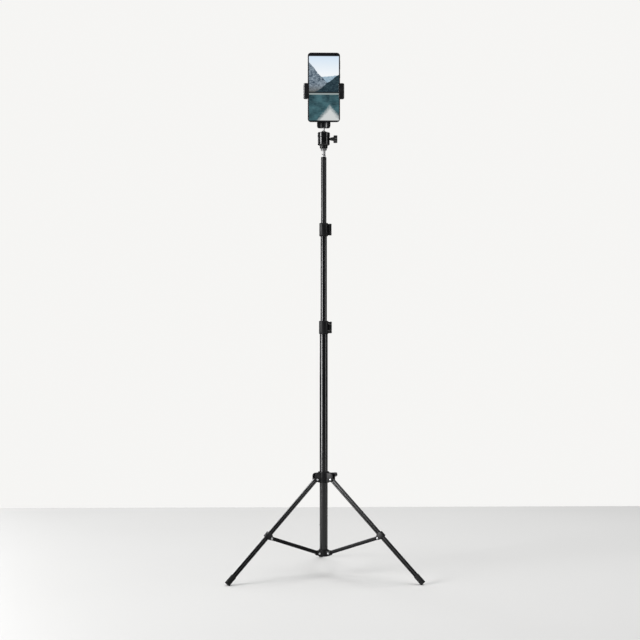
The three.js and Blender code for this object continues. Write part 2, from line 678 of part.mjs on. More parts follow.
// Block that screws on the stem, with an arm up to the clamp's turning axis; origin at its underside.
function clampFoot() {
  const { width, depth, height, corner } = CLAMP_FOOT;
  const shape = roundedBox(width, height, corner);
  const lift = new THREE.Vector2(0, height / 2);
  const outline = new THREE.Shape(shape.getPoints(5).map((point) => point.add(lift)));
  const arm = new THREE.Shape();
  const { radius, front, back } = CLAMP_ARM;
  arm.moveTo(-radius, height / 2);
  arm.lineTo(radius, height / 2);
  arm.absarc(0, CLAMP_PIVOT_RISE, radius, 0, Math.PI);
  return cut(
    join(plateY(outline, -depth / 2, depth / 2), plateY(arm, front, back, 10)),
    barZ(THREAD_R + SNUG, -1, STEM_THREAD + 1),
    barY(PIVOT_SCREW.shank + FIT, front - 1, back + 1, 0, CLAMP_PIVOT_RISE),
  );
}

function pivotScrew() {
  const { shank, head, headDepth } = PIVOT_SCREW;
  const back = CLAMP_ARM.back + FIT;
  return join(barY(shank, BAR.front + 1, back + 1), barY(head, back, back + headDepth, 0, 0, ROUND));
}

// Plan of a jaw on the +X side: crowned outer face, front lip over the phone, root beside the bar.
function jawPlan() {
  const outer = jawWallFace + JAW.wall - JAW.crown;
  const front = phoneY - PHONE.depth / 2 - FIT - JAW.lip;
  const lipEnd = PHONE.width / 2 - JAW.overlap;
  const root = PHONE.width / 2 + FIT;
  const plan = new THREE.Shape();
  plan.moveTo(lipEnd, front);
  plan.lineTo(outer, front);
  plan.quadraticCurveTo(outer + 2 * JAW.crown, (front + BAR.back) / 2, outer, BAR.back);
  plan.lineTo(root, BAR.back);
  plan.lineTo(root, BAR.front);
  plan.lineTo(jawWallFace, BAR.front);
  plan.lineTo(jawWallFace, front + JAW.lip);
  plan.lineTo(lipEnd, front + JAW.lip);
  return plan;
}

function jaw() {
  const wide = PHONE.width;
  const half = JAW.height / 2;
  const outline = roundedBox(2 * (jawWallFace + JAW.wall), JAW.height, JAW.corner);
  return plateZ(jawPlan(), -half, half, 10).intersect(plateY(outline, -wide, wide));
}

function jawPad() {
  const half = JAW.height / 2 - 1.5;
  const { depth } = PHONE;
  const face = [jawFace, jawFace + PAD];
  return block(face, [phoneY - depth / 2 + FIT, phoneY + depth / 2 - FIT], [-half, half]);
}

function mirroredX(solid) {
  return solid.mirror([1, 0, 0]);
}

// The bar carries the fixed jaw on its left and guides the moving jaw's rods on its right.
function clampBar() {
  const end = PHONE.width / 2;
  const outline = new THREE.Shape();
  const points = roundedBox(2 * end + 2, BAR.height, BAR.corner).getPoints(5);
  outline.setFromPoints(points.map((point) => point.add(new THREE.Vector2(-1, 0))));
  const rodBore = (side) => barX(ROD.radius + FIT, ROD.pocket - end, end + 1, barMidY, side * ROD.rise);
  const rods = [-1, 1].map(rodBore);
  return cut(
    join(plateY(outline, BAR.front, BAR.back), mirroredX(jaw())),
    ...rods,
    barX(SPRING.radius + FIT, -end + 3, end + 1, barMidY, SPRING.rise),
    barY(PIVOT_SCREW.shank + FIT, BAR.front + 0.7, BAR.back + 1),
  );
}

function movingJaw() {
  const from = PHONE.width / 2;
  const to = jawWallFace + JAW.wall / 2;
  const rods = [-1, 1].map((side) => barX(ROD.radius + SNUG, from, to, barMidY, side * ROD.rise));
  return cut(jaw(), ...rods);
}

function guideRod(side) {
  return barX(ROD.radius, ROD.left, jawWallFace + JAW.wall / 2 - SNUG, barMidY, side * ROD.rise);
}

function clampSpring() {
  const end = PHONE.width / 2;
  return barX(SPRING.radius, -end + 4, end, barMidY, SPRING.rise, 12);
}

// ---------------------------------------------------------------- phone, centred on its middle

function phonePlate(inset, from, to, corner = PHONE.corner - inset) {
  return plateY(roundedBox(PHONE.width - 2 * inset, PHONE.height - 2 * inset, corner), from, to, 5);
}

const phoneFront = -PHONE.depth / 2;
const phoneBack = PHONE.depth / 2;
const glassFloor = phoneFront + GLASS + FIT;
const coverFloor = phoneBack - BACK_COVER - FIT;
const boardTop = PHONE.height / 2 - PHONE_WALL - BOARD.above;

function keySlot({ centre, length }) {
  const half = length / 2 + FIT;
  const thick = KEY.depth / 2 + FIT;
  const across = [PHONE.width / 2 - 2 * PHONE_WALL, PHONE.width];
  return block(across, [-thick, thick], [centre - half, centre + half]);
}

function phoneFrame() {
  return cut(
    phonePlate(0, phoneFront, phoneBack),
    phonePlate(PHONE_RIM, phoneFront - 1, glassFloor),
    phonePlate(PHONE_RIM, coverFloor, phoneBack + 1),
    phonePlate(PHONE_WALL, glassFloor + MIDPLATE, phoneBack + 1),
    keySlot(POWER_KEY),
    keySlot(VOLUME_KEY),
  );
}

function phoneScreen() {
  return phonePlate(PHONE_RIM + SNUG, phoneFront, phoneFront + GLASS);
}

function phoneBackCover() {
  return phonePlate(PHONE_RIM + SNUG, phoneBack - BACK_COVER, phoneBack);
}

function cameraIsland() {
  const from = phoneBack + FIT;
  const to = from + ISLAND.depth;
  const x = -PHONE.width / 2 + ISLAND.width / 2 + 6;
  const z = PHONE.height / 2 - ISLAND.height / 2 - 6;
  const points = roundedBox(ISLAND.width, ISLAND.height, ISLAND.corner).getPoints(5);
  const outline = new THREE.Shape(points.map((point) => point.add(new THREE.Vector2(x, z))));
  const lenses = [9.5, -7].map((rise) => barY(6, from, to + 0.8, x, z + rise));
  return join(plateY(outline, from, to), ...lenses);
}

function phoneBattery() {
  const { side, below, above, depth } = BATTERY;
  const from = glassFloor + MIDPLATE + FIT;
  const half = PHONE.width / 2 - PHONE_WALL - side;
  const z = [-PHONE.height / 2 + PHONE_WALL + below, boardTop - BOARD.height - above];
  return block([-half, half], [from, Math.min(from + depth, coverFloor - FIT)], z);
}

function phoneBoard() {
  const { side, height, depth } = BOARD;
  const from = glassFloor + MIDPLATE + FIT;
  const half = PHONE.width / 2 - PHONE_WALL - side;
  const top = boardTop;
  const plate = block([-half, half], [from, from + depth], [top - height, top]);
  const shield = block([-6, half - 4], [from, from + 2.4], [top - height + 4, top - 6]);
  const camera = block([-half + 3, -12], [from, from + 3.4], [top - height + 6, top - 4]);
  return join(plate, shield, camera);
}

function sideKey({ centre, length }) {
  const outside = PHONE.width / 2;
  const inside = outside - PHONE_WALL - FIT - 0.5;
  const half = length / 2;
  const stemDepth = [-KEY.depth / 2, KEY.depth / 2];
  const stem = block([inside, outside + KEY.proud], stemDepth, [centre - half, centre + half]);
  const wide = KEY.depth / 2 + KEY.flange / 2;
  const reach = half + KEY.flange;
  const flangeAcross = [inside - 0.4, outside - PHONE_WALL - FIT];
  const flange = block(flangeAcross, [-wide, wide], [centre - reach, centre + reach]);
  return join(stem, flange);
}

// ---------------------------------------------------------------- assembly

function legAssembly(which, azimuth) {
  const legTilt = Math.PI / 2 - spread;
  const turn = THREE.MathUtils.degToRad(azimuth);
  const bracket = group([
    mesh(`leg_bracket_${which}`, 'plastic', legBracket()),
    mesh(`brace_rivet_${which}`, 'steel', rivet(legSlot + 2 * BRACKET_SHEET)),
  ], { x: BRACE_AT, z: -BRACE_DROP });
  const leg = group([
    mesh(`leg_${which}`, 'tube', legTube()),
    mesh(`leg_pin_${which}`, 'steel', legPin()),
    bracket,
  ], { x: legPivotR, z: spiderPivotZ, tilt: legTilt });
  const hubRivet = group([
    mesh(`hub_rivet_${which}`, 'steel', rivet(braceSlot + 2 * HUB_EAR.sheet)),
  ], { x: hubPivotR, z: HUB_PIVOT_Z });
  const strut = group([
    mesh(`brace_${which}`, 'tube', brace()),
  ], { x: hubPivotR, z: HUB_PIVOT_Z, tilt: -braceRise });
  const foot = mesh(`foot_${which}`, 'rubber', footCap());
  return group([leg, hubRivet, strut, foot], { turn });
}

function spiderAssembly() {
  const knob = mesh('spider_knob', 'plastic', lobedKnob({
    studR: THREAD_R - SNUG - FIT,
    studFrom: LOWER_TUBE_R + FIT,
    neckFrom: knobSeatR + FIT,
    neckR: 3.4,
    headFrom: knobSeatR + 6,
    headTo: knobSeatR + 19,
    headR: 5.4,
    lobes: 5,
  }));
  const knobSeat = group([knob], { z: SPIDER_BOSS.rise, turn: THREE.MathUtils.degToRad(KNOB_AZIMUTH) });
  return group([mesh('spider_collar', 'plastic', spiderCollar()), knobSeat], { z: spiderPivotZ });
}

function mast() {
  const tube = (name, radius, length) => mesh(name, 'tube', ring(radius - TUBE_WALL, radius, 0, length));
  return [
    group([mesh('bottom_hub', 'plastic', bottomHub())], { z: hubZ }),
    group([tube('lower_tube', LOWER_TUBE_R, LOWER_TUBE_LENGTH)], { z: lowerTubeZ }),
    group(collarPieces('lower', lowerCollarR, LOWER_TUBE_R, MID_TUBE_R), { z: lowerCollarZ }),
    group([
      tube('mid_tube', MID_TUBE_R, MID_TUBE_LENGTH),
      mesh('mid_bush', 'plastic', outerBush(MID_TUBE_R, LOWER_TUBE_R)),
    ], { z: midTubeZ }),
    group(collarPieces('upper', upperCollarR, MID_TUBE_R, TOP_TUBE_R), { z: upperCollarZ }),
    group([
      tube('top_tube', TOP_TUBE_R, TOP_TUBE_LENGTH),
      mesh('top_bush', 'plastic', plugBush(TOP_TUBE_R)),
    ], { z: topTubeZ }),
    group([mesh('top_cap', 'plastic', topCap())], { z: topTubeTop }),
    group([mesh('spigot', 'steel', spigot())], { z: spigotZ }),
  ];
}

function ballHead() {
  const knob = mesh('head_knob', 'plastic', lobedKnob({
    studR: THREAD_R - SNUG - FIT,
    studFrom: headCavityR + FIT,
    neckFrom: HEAD_R + 1,
    neckR: 4.8,
    headFrom: HEAD_R + 8.4,
    headTo: HEAD_R + 17.4,
    headR: 9.5,
    lobes: 5,
  }));
  return [
    group([mesh('head_base', 'plastic', headBase())], { z: headBaseZ }),
    group([
      mesh('head_housing', 'gloss', headHousing()),
      mesh('ball_seat', 'plastic', ballSeat()),
      group([knob], { z: HEAD_KNOB_RISE }),
    ], { z: headZ }),
    group([
      mesh('ball', 'gloss', ball(BALL_R, 0)),
      mesh('ball_stem', 'steel', ballStem()),
    ], { z: ballZ }),
  ];
}

function phoneClamp() {
  return [
    group([mesh('clamp_foot', 'plastic', clampFoot())], { z: clampFootZ }),
    group([
      mesh('clamp_bar', 'plastic', clampBar()),
      mesh('pivot_screw', 'plastic', pivotScrew()),
      mesh('fixed_pad', 'rubber', mirroredX(jawPad())),
      mesh('moving_jaw', 'plastic', movingJaw()),
      mesh('moving_pad', 'rubber', jawPad()),
      mesh('guide_rod_upper', 'steel', guideRod(1)),
      mesh('guide_rod_lower', 'steel', guideRod(-1)),
      mesh('clamp_spring', 'steel', clampSpring()),
    ], { z: clampPivotZ }),
  ];
}

function phone() {
  return group([
    mesh('phone_frame', 'gloss', phoneFrame()),
    mesh('phone_screen', 'glass', phoneScreen()),
    mesh('phone_back', 'gloss', phoneBackCover()),
    mesh('camera_island', 'glass', cameraIsland()),
    mesh('phone_battery', 'battery', phoneBattery()),
    mesh('phone_board', 'board', phoneBoard()),
    mesh('power_key', 'gloss', sideKey(POWER_KEY)),
    mesh('volume_key', 'gloss', sideKey(VOLUME_KEY)),
  ], { y: phoneY, z: clampPivotZ + PHONE.rise });
}

const stand = new THREE.Group();
stand.add(...LEGS.map(([which, azimuth]) => legAssembly(which, azimuth)));
stand.add(spiderAssembly(), ...mast(), ...ballHead(), ...phoneClamp(), phone());

// The footprint's centre, not the mast, stands on the origin.
const footprint = new THREE.Box3().setFromObject(stand, true);
const centre = footprint.getCenter(new THREE.Vector3());
stand.position.set(-centre.x, -centre.y, -footprint.min.z);
stand.updateMatrixWorld(true);

export default stand;
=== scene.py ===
# %% [markdown]
# # A smartphone on a folding tripod stand
#
# A phone is held in a spring clamp on a ball head, on top of a light stand with three
# sliding mast sections and three folding legs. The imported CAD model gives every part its
# place, its size and its joints. Its rounds are made of flat facets, so each part that
# shows is modelled again here, to the same sizes, with fine rounds and softened edges,
# and then gets a finish of its own. Lengths are in millimetres while a part is modelled,
# and in metres in its finished mesh.

import math

import bmesh
import bpy
from mathutils import Matrix, Vector


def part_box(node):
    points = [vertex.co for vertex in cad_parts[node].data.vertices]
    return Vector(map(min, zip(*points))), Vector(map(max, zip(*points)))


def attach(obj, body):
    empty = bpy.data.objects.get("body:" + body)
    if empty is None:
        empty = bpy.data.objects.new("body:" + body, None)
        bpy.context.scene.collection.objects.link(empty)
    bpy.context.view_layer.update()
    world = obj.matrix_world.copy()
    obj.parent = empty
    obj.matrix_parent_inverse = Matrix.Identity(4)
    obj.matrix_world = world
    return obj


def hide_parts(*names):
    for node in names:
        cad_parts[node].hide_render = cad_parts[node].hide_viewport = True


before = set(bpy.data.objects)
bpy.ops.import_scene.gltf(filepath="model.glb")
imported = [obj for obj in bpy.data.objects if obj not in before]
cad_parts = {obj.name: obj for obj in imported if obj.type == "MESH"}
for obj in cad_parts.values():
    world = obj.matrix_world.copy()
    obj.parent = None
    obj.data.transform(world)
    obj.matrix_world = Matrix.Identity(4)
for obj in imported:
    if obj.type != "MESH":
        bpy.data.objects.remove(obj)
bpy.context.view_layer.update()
MM = 0.001

# %% [markdown]
# ## Where things are
#
# A node's box says where it stands, and a joint says where its hinge is. Reading both from
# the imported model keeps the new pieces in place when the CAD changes.

# %% Places read from the CAD


def low(node):
    """The lowest corner of a CAD node, in millimetres."""
    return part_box(node)[0] / MM


def high(node):
    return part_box(node)[1] / MM


def middle(node):
    return (low(node) + high(node)) / 2


mast = Vector((middle("lower_tube").x, middle("lower_tube").y, 0))
LEGS = {"left": 210, "right": 330, "rear": 90}  # where each leg points, in degrees about the mast
print("mast axis at", [round(v, 2) for v in mast])

# %% [markdown]
# ## Camera
#
# The stand is seen from three metres away, level, from a little above half its height, with
# a long lens, so that its legs and mast stay straight and upright in the picture.

# %% Camera
CAMERA_TURN = math.radians(-1.4)  # round the mast, from straight in front
CAMERA_AWAY = 3.3
CAMERA_ASIDE = 0.0087
CAMERA_HEIGHT = 0.6
CAMERA_LENS = 78.9
camera_side = Vector((math.cos(CAMERA_TURN), math.sin(CAMERA_TURN), 0))
camera_back = Vector((math.sin(CAMERA_TURN), -math.cos(CAMERA_TURN), 0))

camera = bpy.data.objects.new("camera", bpy.data.cameras.new("camera"))
bpy.context.scene.collection.objects.link(camera)
camera.location = mast * MM + camera_back * CAMERA_AWAY - camera_side * CAMERA_ASIDE
camera.location.z += CAMERA_HEIGHT
camera.rotation_euler = (math.radians(90), 0, CAMERA_TURN)
camera.data.lens = CAMERA_LENS
bpy.context.scene.camera = camera
print("camera at", [round(v, 3) for v in camera.location])

# %% [markdown]
# ## Shapes
#
# Almost everything on a light stand is turned, cut from sheet or bar, or moulded as a
# block. Four small makers cover that: a profile spun round an axis, a flat outline pushed to
# a thickness, a bar and a box. Rounded corners come from bevelling the corners of the
# profile before it is spun or pushed, so a finished edge is a true arc.

# %% Makers of simple closed shapes
ROUND = 96  # steps round a large part
SMALL = 40  # steps round a pin or a rivet
MERGE = 1e-4  # corners nearer than this are one corner


def rounded_corners(bm, corners, radii):
    """Bevels each corner of a flat outline by its own radius."""
    for radius in sorted(set(radii) - {0}):
        chosen = [corner for corner, r in zip(corners, radii) if r == radius]
        bmesh.ops.bevel(
            bm, geom=chosen, offset=radius, segments=max(2, min(10, round(radius * 2 + 2))), profile=0.5,
            affect="VERTICES", material=-1,
        )


def turned(profile, steps=ROUND):
    """A profile of (radius, height) or (radius, height, rounding) corners, spun about Z.

    It starts and ends on the axis, or its last corner repeats the first, as on a ring.
    """
    bm = bmesh.new()
    ring = profile[0][:2] == profile[-1][:2]
    points = profile[:-1] if ring else profile
    corners = [bm.verts.new((p[0], 0, p[1])) for p in points]
    for a, b in zip(corners, corners[1:] + corners[:1] if ring else corners[1:]):
        bm.edges.new((a, b))
    rounded_corners(bm, corners, [p[2] if len(p) > 2 else 0 for p in points])
    bmesh.ops.spin(
        bm, geom=bm.verts[:] + bm.edges[:], cent=(0, 0, 0), axis=(0, 0, 1), dvec=(0, 0, 0),
        angle=2 * math.pi, steps=steps, use_merge=True, use_duplicate=False,
    )
    bmesh.ops.remove_doubles(bm, verts=bm.verts, dist=MERGE)
    bmesh.ops.recalc_face_normals(bm, faces=bm.faces)
    return bm


def plate(outline, start, end):
    """A flat outline of (x, z) or (x, z, rounding) corners, pushed from y = start to y = end."""
    bm = bmesh.new()
    corners = [bm.verts.new((p[0], start, p[1])) for p in outline]
    bm.faces.new(corners)
    rounded_corners(bm, corners, [p[2] if len(p) > 2 else 0 for p in outline])
    pushed = bmesh.ops.extrude_face_region(bm, geom=bm.faces[:])
    moved = [part for part in pushed["geom"] if isinstance(part, bmesh.types.BMVert)]
    bmesh.ops.translate(bm, vec=(0, end - start, 0), verts=moved)
    bmesh.ops.remove_doubles(bm, verts=bm.verts, dist=MERGE)
    bmesh.ops.recalc_face_normals(bm, faces=bm.faces)
    return bm


def bar(radius, start, end, steps=SMALL, soft=0.0):
    """A round bar along Z."""
    return turned([(0, start), (radius, start, soft), (radius, end, soft), (0, end)], steps)


def box(x, y, z, soft=0.0, segments=3):
    """A box between pairs of coordinates, with its edges softened."""
    bm = bmesh.new()
    bmesh.ops.create_cube(bm, size=1)
    size = Vector((x[1] - x[0], y[1] - y[0], z[1] - z[0]))
    centre = Vector((sum(x) / 2, sum(y) / 2, sum(z) / 2))
    bmesh.ops.transform(bm, matrix=Matrix.Translation(centre) @ Matrix.Diagonal((*size, 1)), verts=bm.verts)
    if soft:
        bmesh.ops.bevel(
            bm, geom=bm.edges[:], offset=soft, segments=segments, profile=0.5, affect="EDGES", material=-1,
        )
    return bm


print("shape makers ready")

# %% [markdown]
# A sharp edge on a moulded or sheet part always has a small radius, and the eye finds a part
# without it false. `softened` bevels only the edges where two faces meet at a clear angle.
# `joined`, `cut` and `common` combine closed shapes, and `moved` carries a shape to its place.
# Every maker works along Z or Y, and `ALONG` lays its shape along another axis.

# %% Soften, join, cut and move
QUARTER = math.pi / 2
ALONG = {  # lays a shape that stands along Z
    "X": Matrix.Rotation(QUARTER, 4, "Y"),
    "Y": Matrix.Rotation(-QUARTER, 4, "X"),
    "-Y": Matrix.Rotation(QUARTER, 4, "X"),
}
PUSHED_ALONG_X = Matrix(((0, 1, 0, 0), (0, 0, 1, 0), (1, 0, 0, 0), (0, 0, 0, 1)))  # for a plate
MIRROR = Matrix.Scale(-1, 4, (1, 0, 0))  # left to right


def softened(bm, width, segments=2, angle=35):
    """Bevels the edges where two faces meet at more than the given angle, in degrees."""
    edges = [e for e in bm.edges if len(e.link_faces) == 2 and e.calc_face_angle(0) > math.radians(angle)]
    bmesh.ops.bevel(
        bm, geom=edges, offset=width, segments=segments, profile=0.5, affect="EDGES",
        clamp_overlap=True, material=-1,
    )
    bmesh.ops.remove_doubles(bm, verts=bm.verts, dist=MERGE)
    return bm


def moved(bm, *steps):
    """Applies matrices in turn; a step that is a tuple shifts the shape."""
    for step in steps:
        matrix = Matrix.Translation(step) if isinstance(step, tuple) else step
        bmesh.ops.transform(bm, matrix=matrix, verts=bm.verts)
        if matrix.determinant() < 0:
            bmesh.ops.reverse_faces(bm, faces=bm.faces)
    return bm


def copied(bm):
    return bm.copy()


def turn_z(degrees):
    return Matrix.Rotation(math.radians(degrees), 4, "Z")


def combined(first, others, operation):
    """Adds, subtracts or intersects closed shapes and hands back one closed shape."""
    helpers = []
    for bm in [first, *others]:
        mesh = bpy.data.meshes.new("helper")
        bm.to_mesh(mesh)
        bm.free()
        helper = bpy.data.objects.new("helper", mesh)
        bpy.context.scene.collection.objects.link(helper)
        helpers.append(helper)
    for tool in helpers[1:]:
        step = helpers[0].modifiers.new("shape", "BOOLEAN")
        step.solver, step.operation, step.object = "MANIFOLD", operation, tool
    result = bmesh.new()
    result.from_object(helpers[0], bpy.context.evaluated_depsgraph_get())
    for helper in helpers:
        mesh = helper.data
        bpy.data.objects.remove(helper)
        bpy.data.meshes.remove(mesh)
    bmesh.ops.remove_doubles(result, verts=result.verts, dist=MERGE)
    return result


def joined(first, *others):
    return combined(first, others, "UNION")


def cut(first, *others):
    return combined(first, others, "DIFFERENCE")


def common(first, *others):
    return combined(first, others, "INTERSECT")


print("tools ready")

# %% [markdown]
# ## Finishes
#
# Each finish is a node tree on object coordinates, so it stays on its piece when the piece
# moves. A noise pattern varies the colour a little, another varies the gloss, and a third
# gives the height of a fine bump. Constant values go straight on the shader's sockets.

# %% Node helpers


class Finish:
    """A material with one Principled shader and a few patterns."""

    def __init__(self, name, color, roughness, metallic=0.0, **sockets):
        self.material = bpy.data.materials.new(name)
        self.material.use_nodes = True
        self.material.diffuse_color = (*color, 1)
        self.nodes = self.material.node_tree.nodes
        self.links = self.material.node_tree.links
        self.shader = self.nodes["Principled BSDF"]
        self.shader.inputs["Base Color"].default_value = (*color, 1)
        self.shader.inputs["Roughness"].default_value = roughness
        self.shader.inputs["Metallic"].default_value = metallic
        for socket, value in sockets.items():
            self.shader.inputs[socket.replace("_", " ")].default_value = value
        self.place = self.nodes.new("ShaderNodeTexCoord").outputs["Object"]

    def stretched(self, scale):
        """Object coordinates, with each axis multiplied by its own number."""
        mapping = self.nodes.new("ShaderNodeMapping")
        mapping.inputs["Scale"].default_value = scale
        self.links.new(self.place, mapping.inputs["Vector"])
        return mapping.outputs["Vector"]

    def noise(self, size, detail=3.0, rough=0.5, scale=(1, 1, 1)):
        """A pattern from 0 to 1 whose spots are about size metres across."""
        node = self.nodes.new("ShaderNodeTexNoise")
        node.inputs["Scale"].default_value = 1 / size
        node.inputs["Detail"].default_value = detail
        node.inputs["Roughness"].default_value = rough
        self.links.new(self.stretched(scale), node.inputs["Vector"])
        return node.outputs["Fac"]

    def spread(self, value, start, end, first=0.0, last=1.0):
        """Maps a pattern's values between start and end to those between first and last."""
        node = self.nodes.new("ShaderNodeMapRange")
        limits = {"From Min": start, "From Max": end, "To Min": first, "To Max": last}
        for socket, number in limits.items():
            node.inputs[socket].default_value = number
        self.links.new(value, node.inputs["Value"])
        return node.outputs["Result"]

    def blended(self, mask, dark, light):
        """A colour between two, each a colour or another pattern's output."""
        node = self.nodes.new("ShaderNodeMix")
        node.data_type = "RGBA"
        self.links.new(mask, node.inputs["Factor"])
        first, second = (socket for socket in node.inputs if socket.type == "RGBA")
        for socket, value in ((first, dark), (second, light)):
            if isinstance(value, bpy.types.NodeSocket):
                self.links.new(value, socket)
            else:
                socket.default_value = (*value, 1)
        return next(socket for socket in node.outputs if socket.type == "RGBA")

    def maths(self, operation, first, second=None):
        """One sum of numbers or patterns."""
        node = self.nodes.new("ShaderNodeMath")
        node.operation = operation
        for socket, value in zip(node.inputs, (first, second)):
            if isinstance(value, bpy.types.NodeSocket):
                self.links.new(value, socket)
            elif value is not None:
                socket.default_value = value
        return node.outputs["Value"]

    def bumped(self, height, depth):
        """Raises the surface by depth metres where the pattern is 1."""
        node = self.nodes.new("ShaderNodeBump")
        node.inputs["Distance"].default_value = depth
        node.inputs["Strength"].default_value = 1.0
        self.links.new(height, node.inputs["Height"])
        self.links.new(node.outputs["Normal"], self.shader.inputs["Normal"])

    def to(self, socket, value):
        self.links.new(value, self.shader.inputs[socket])

    def toned(self, mask, color, last, first=1.0):
        """Colours the surface from one shade of a colour to another as the mask rises."""
        shades = [tuple(share * c for c in color) for share in (first, last)]
        self.to("Base Color", self.blended(mask, *shades))


print("finish helpers ready")

# %% [markdown]
# ### Black enamel on the tubes
#
# The mast, legs and braces are thin tube and sheet with a baked black coat: fairly glossy,
# with the slight orange peel of sprayed enamel, and fine marks drawn along the mast where
# the sections slide through their collars. Drawn tube spreads a highlight along its length,
# so the mast's shader is anisotropic. The collars, levers, hub, knobs and clamp are moulded
# from black plastics that differ a little in gloss and grain.

# %% Enamel and moulded plastics
ALONG_THE_TUBE = 0.25  # a quarter turn, for highlights that spread up and down


def enamel(name, color, roughness, shine, drawn=0.0, marked=True):
    """Baked enamel; drawn stretches its highlights along the piece, and marked adds sliding marks."""
    finish = Finish(
        name, color, roughness, Specular_IOR_Level=shine, Anisotropic=drawn,
        Anisotropic_Rotation=ALONG_THE_TUBE,
    )
    clouds = finish.noise(0.04, 3)
    finish.toned(finish.spread(clouds, 0.35, 0.7), color, 1.7)
    wear = finish.maths("ADD", finish.spread(clouds, 0.3, 0.7, 0, 0.03), roughness - 0.03)
    if marked:
        scratches = finish.noise(0.0006, 2, scale=(1, 1, 0.01))
        wear = finish.maths("ADD", wear, finish.spread(scratches, 0.62, 0.8, 0, 0.05))
    finish.to("Roughness", wear)
    finish.bumped(finish.noise(0.0016, 2), 0.0000008)
    return finish.material


def moulded(name, color, roughness, grain=0.0005, depth=0.00003, shine=0.15):
    """Injection-moulded plastic: an even fine grain, with a faint cloudiness in its gloss."""
    finish = Finish(name, color, roughness, Specular_IOR_Level=shine)
    clouds = finish.noise(0.012, 3)
    finish.toned(finish.spread(clouds, 0.3, 0.75), color, 1.3, 0.8)
    finish.to("Roughness", finish.spread(clouds, 0.3, 0.7, roughness - 0.06, roughness + 0.08))
    finish.bumped(finish.noise(grain, 2), depth)
    return finish.material


mast_black = enamel("mast_black_enamel", (0.001, 0.001, 0.0012), 0.21, 0.5, 0.95)
top_black = enamel("top_tube_satin_enamel", (0.002, 0.002, 0.0023), 0.4, 0.45, 0.6)
leg_black = enamel("leg_black_enamel", (0.0012, 0.0012, 0.0015), 0.2, 0.35, marked=False)
brace_black = enamel("brace_black_enamel", (0.0015, 0.0015, 0.0018), 0.34, 0.08, marked=False)
collar_plastic = moulded("collar_plastic", (0.0045, 0.0045, 0.005), 0.45, shine=0.12)
lever_plastic = moulded("lever_plastic", (0.0055, 0.0055, 0.006), 0.42, 0.0007)
hub_plastic = moulded("hub_plastic", (0.006, 0.006, 0.0065), 0.38)
knob_plastic = moulded("knob_plastic", (0.003, 0.003, 0.0034), 0.3, 0.0009, 0.000006, 0.4)
clamp_plastic = moulded("clamp_plastic", (0.004, 0.004, 0.0044), 0.3, 0.0006, 0.000004, 0.5)
print("enamel and plastics made")

# %% [markdown]
# ### Rubber, steel and black gloss
#
# Foot caps and jaw pads are matt rubber with a dusty, speckled skin. Rivets, pins and the
# spigot are plated steel, with the fine turning marks left by the lathe. The ball head's
# housing is anodised and polished almost to a mirror.

# %% Rubber, steel and gloss
def rubber(name, color):
    """Matt rubber with a little dust on its skin."""
    finish = Finish(name, color, 0.8, Specular_IOR_Level=0.25)
    dust = finish.noise(0.004, 5, 0.65)
    finish.toned(finish.spread(dust, 0.55, 0.8), color, 2.6)
    finish.to("Roughness", finish.spread(dust, 0.3, 0.7, 0.72, 0.9))
    finish.bumped(finish.noise(0.0007, 3), 0.00005)
    return finish.material


def plated(name, color, roughness, lines=0.00035):
    """Plated steel with fine turning lines across its length."""
    finish = Finish(name, color, roughness, 1.0)
    rings = finish.noise(lines, 2, scale=(0.02, 0.02, 1))
    stains = finish.noise(0.003, 4)
    finish.toned(finish.spread(stains, 0.35, 0.8), color, 0.72)
    finish.to("Roughness", finish.spread(rings, 0.3, 0.7, roughness - 0.05, roughness + 0.12))
    finish.bumped(rings, 0.000004)
    return finish.material


def gloss(name, color, roughness):
    """Anodised metal polished almost to a mirror, with faint smears."""
    finish = Finish(name, color, roughness, Specular_IOR_Level=0.38)
    smears = finish.noise(0.009, 4, 0.6)
    finish.toned(finish.spread(smears, 0.3, 0.8), color, 1.6)
    finish.to("Roughness", finish.spread(smears, 0.3, 0.8, roughness, roughness + 0.04))
    finish.bumped(finish.noise(0.0012, 2), 0.0000003)
    return finish.material


foot_rubber = rubber("foot_rubber", (0.006, 0.006, 0.0062))
pad_rubber = rubber("pad_rubber", (0.05, 0.05, 0.052))
rivet_steel = plated("rivet_steel", (0.5, 0.5, 0.51), 0.28)
spigot_steel = plated("spigot_steel", (0.3, 0.3, 0.3), 0.42, 0.0005)
rod_steel = plated("rod_steel", (0.5, 0.5, 0.51), 0.22)
ball_steel = plated("ball_steel", (0.62, 0.62, 0.62), 0.1, 0.0012)
head_gloss = gloss("head_gloss", (0.002, 0.002, 0.0022), 0.16)
print("rubber, steel and gloss made")

# %% [markdown]
# ## Finished pieces
#
# `piece` turns a shape in millimetres into an object in metres, shades it smooth up to its
# real edges, gives it its finish, hangs it on the CAD body that carries it and hides the CAD
# nodes it stands for.

# %% Turn a shape into a piece
SHARP = math.radians(32)  # faces that meet at more than this keep a hard edge between them


def piece(name, bm, material, body, nodes=()):
    """Makes a finished object of a shape in millimetres, hangs it on its body and hides the CAD nodes it
    replaces.
    """
    bmesh.ops.transform(bm, matrix=Matrix.Scale(MM, 4), verts=bm.verts)
    mesh = bpy.data.meshes.new(name)
    bm.to_mesh(mesh)
    bm.free()
    mesh.shade_smooth()
    mesh.set_sharp_from_angle(angle=SHARP)
    mesh.materials.append(material)
    made = bpy.data.objects.new(name, mesh)
    bpy.context.scene.collection.objects.link(made)
    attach(made, body)
    if nodes:
        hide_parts(*nodes)
    mesh.calc_loop_triangles()
    check = bmesh.new()
    check.from_mesh(mesh)
    open_edges = sum(not e.is_manifold for e in check.edges)
    volume = check.calc_volume(signed=True)
    check.free()
    print(f"{name}: {len(mesh.loop_triangles)} triangles, {open_edges} open edges, {volume * 1e6:.3f} cm3")
    return made


def dressed(node, material):
    """Keeps a CAD node's shape and gives it a finish."""
    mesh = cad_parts[node].data
    mesh.materials.clear()
    mesh.materials.append(material)


print("ready to make pieces")

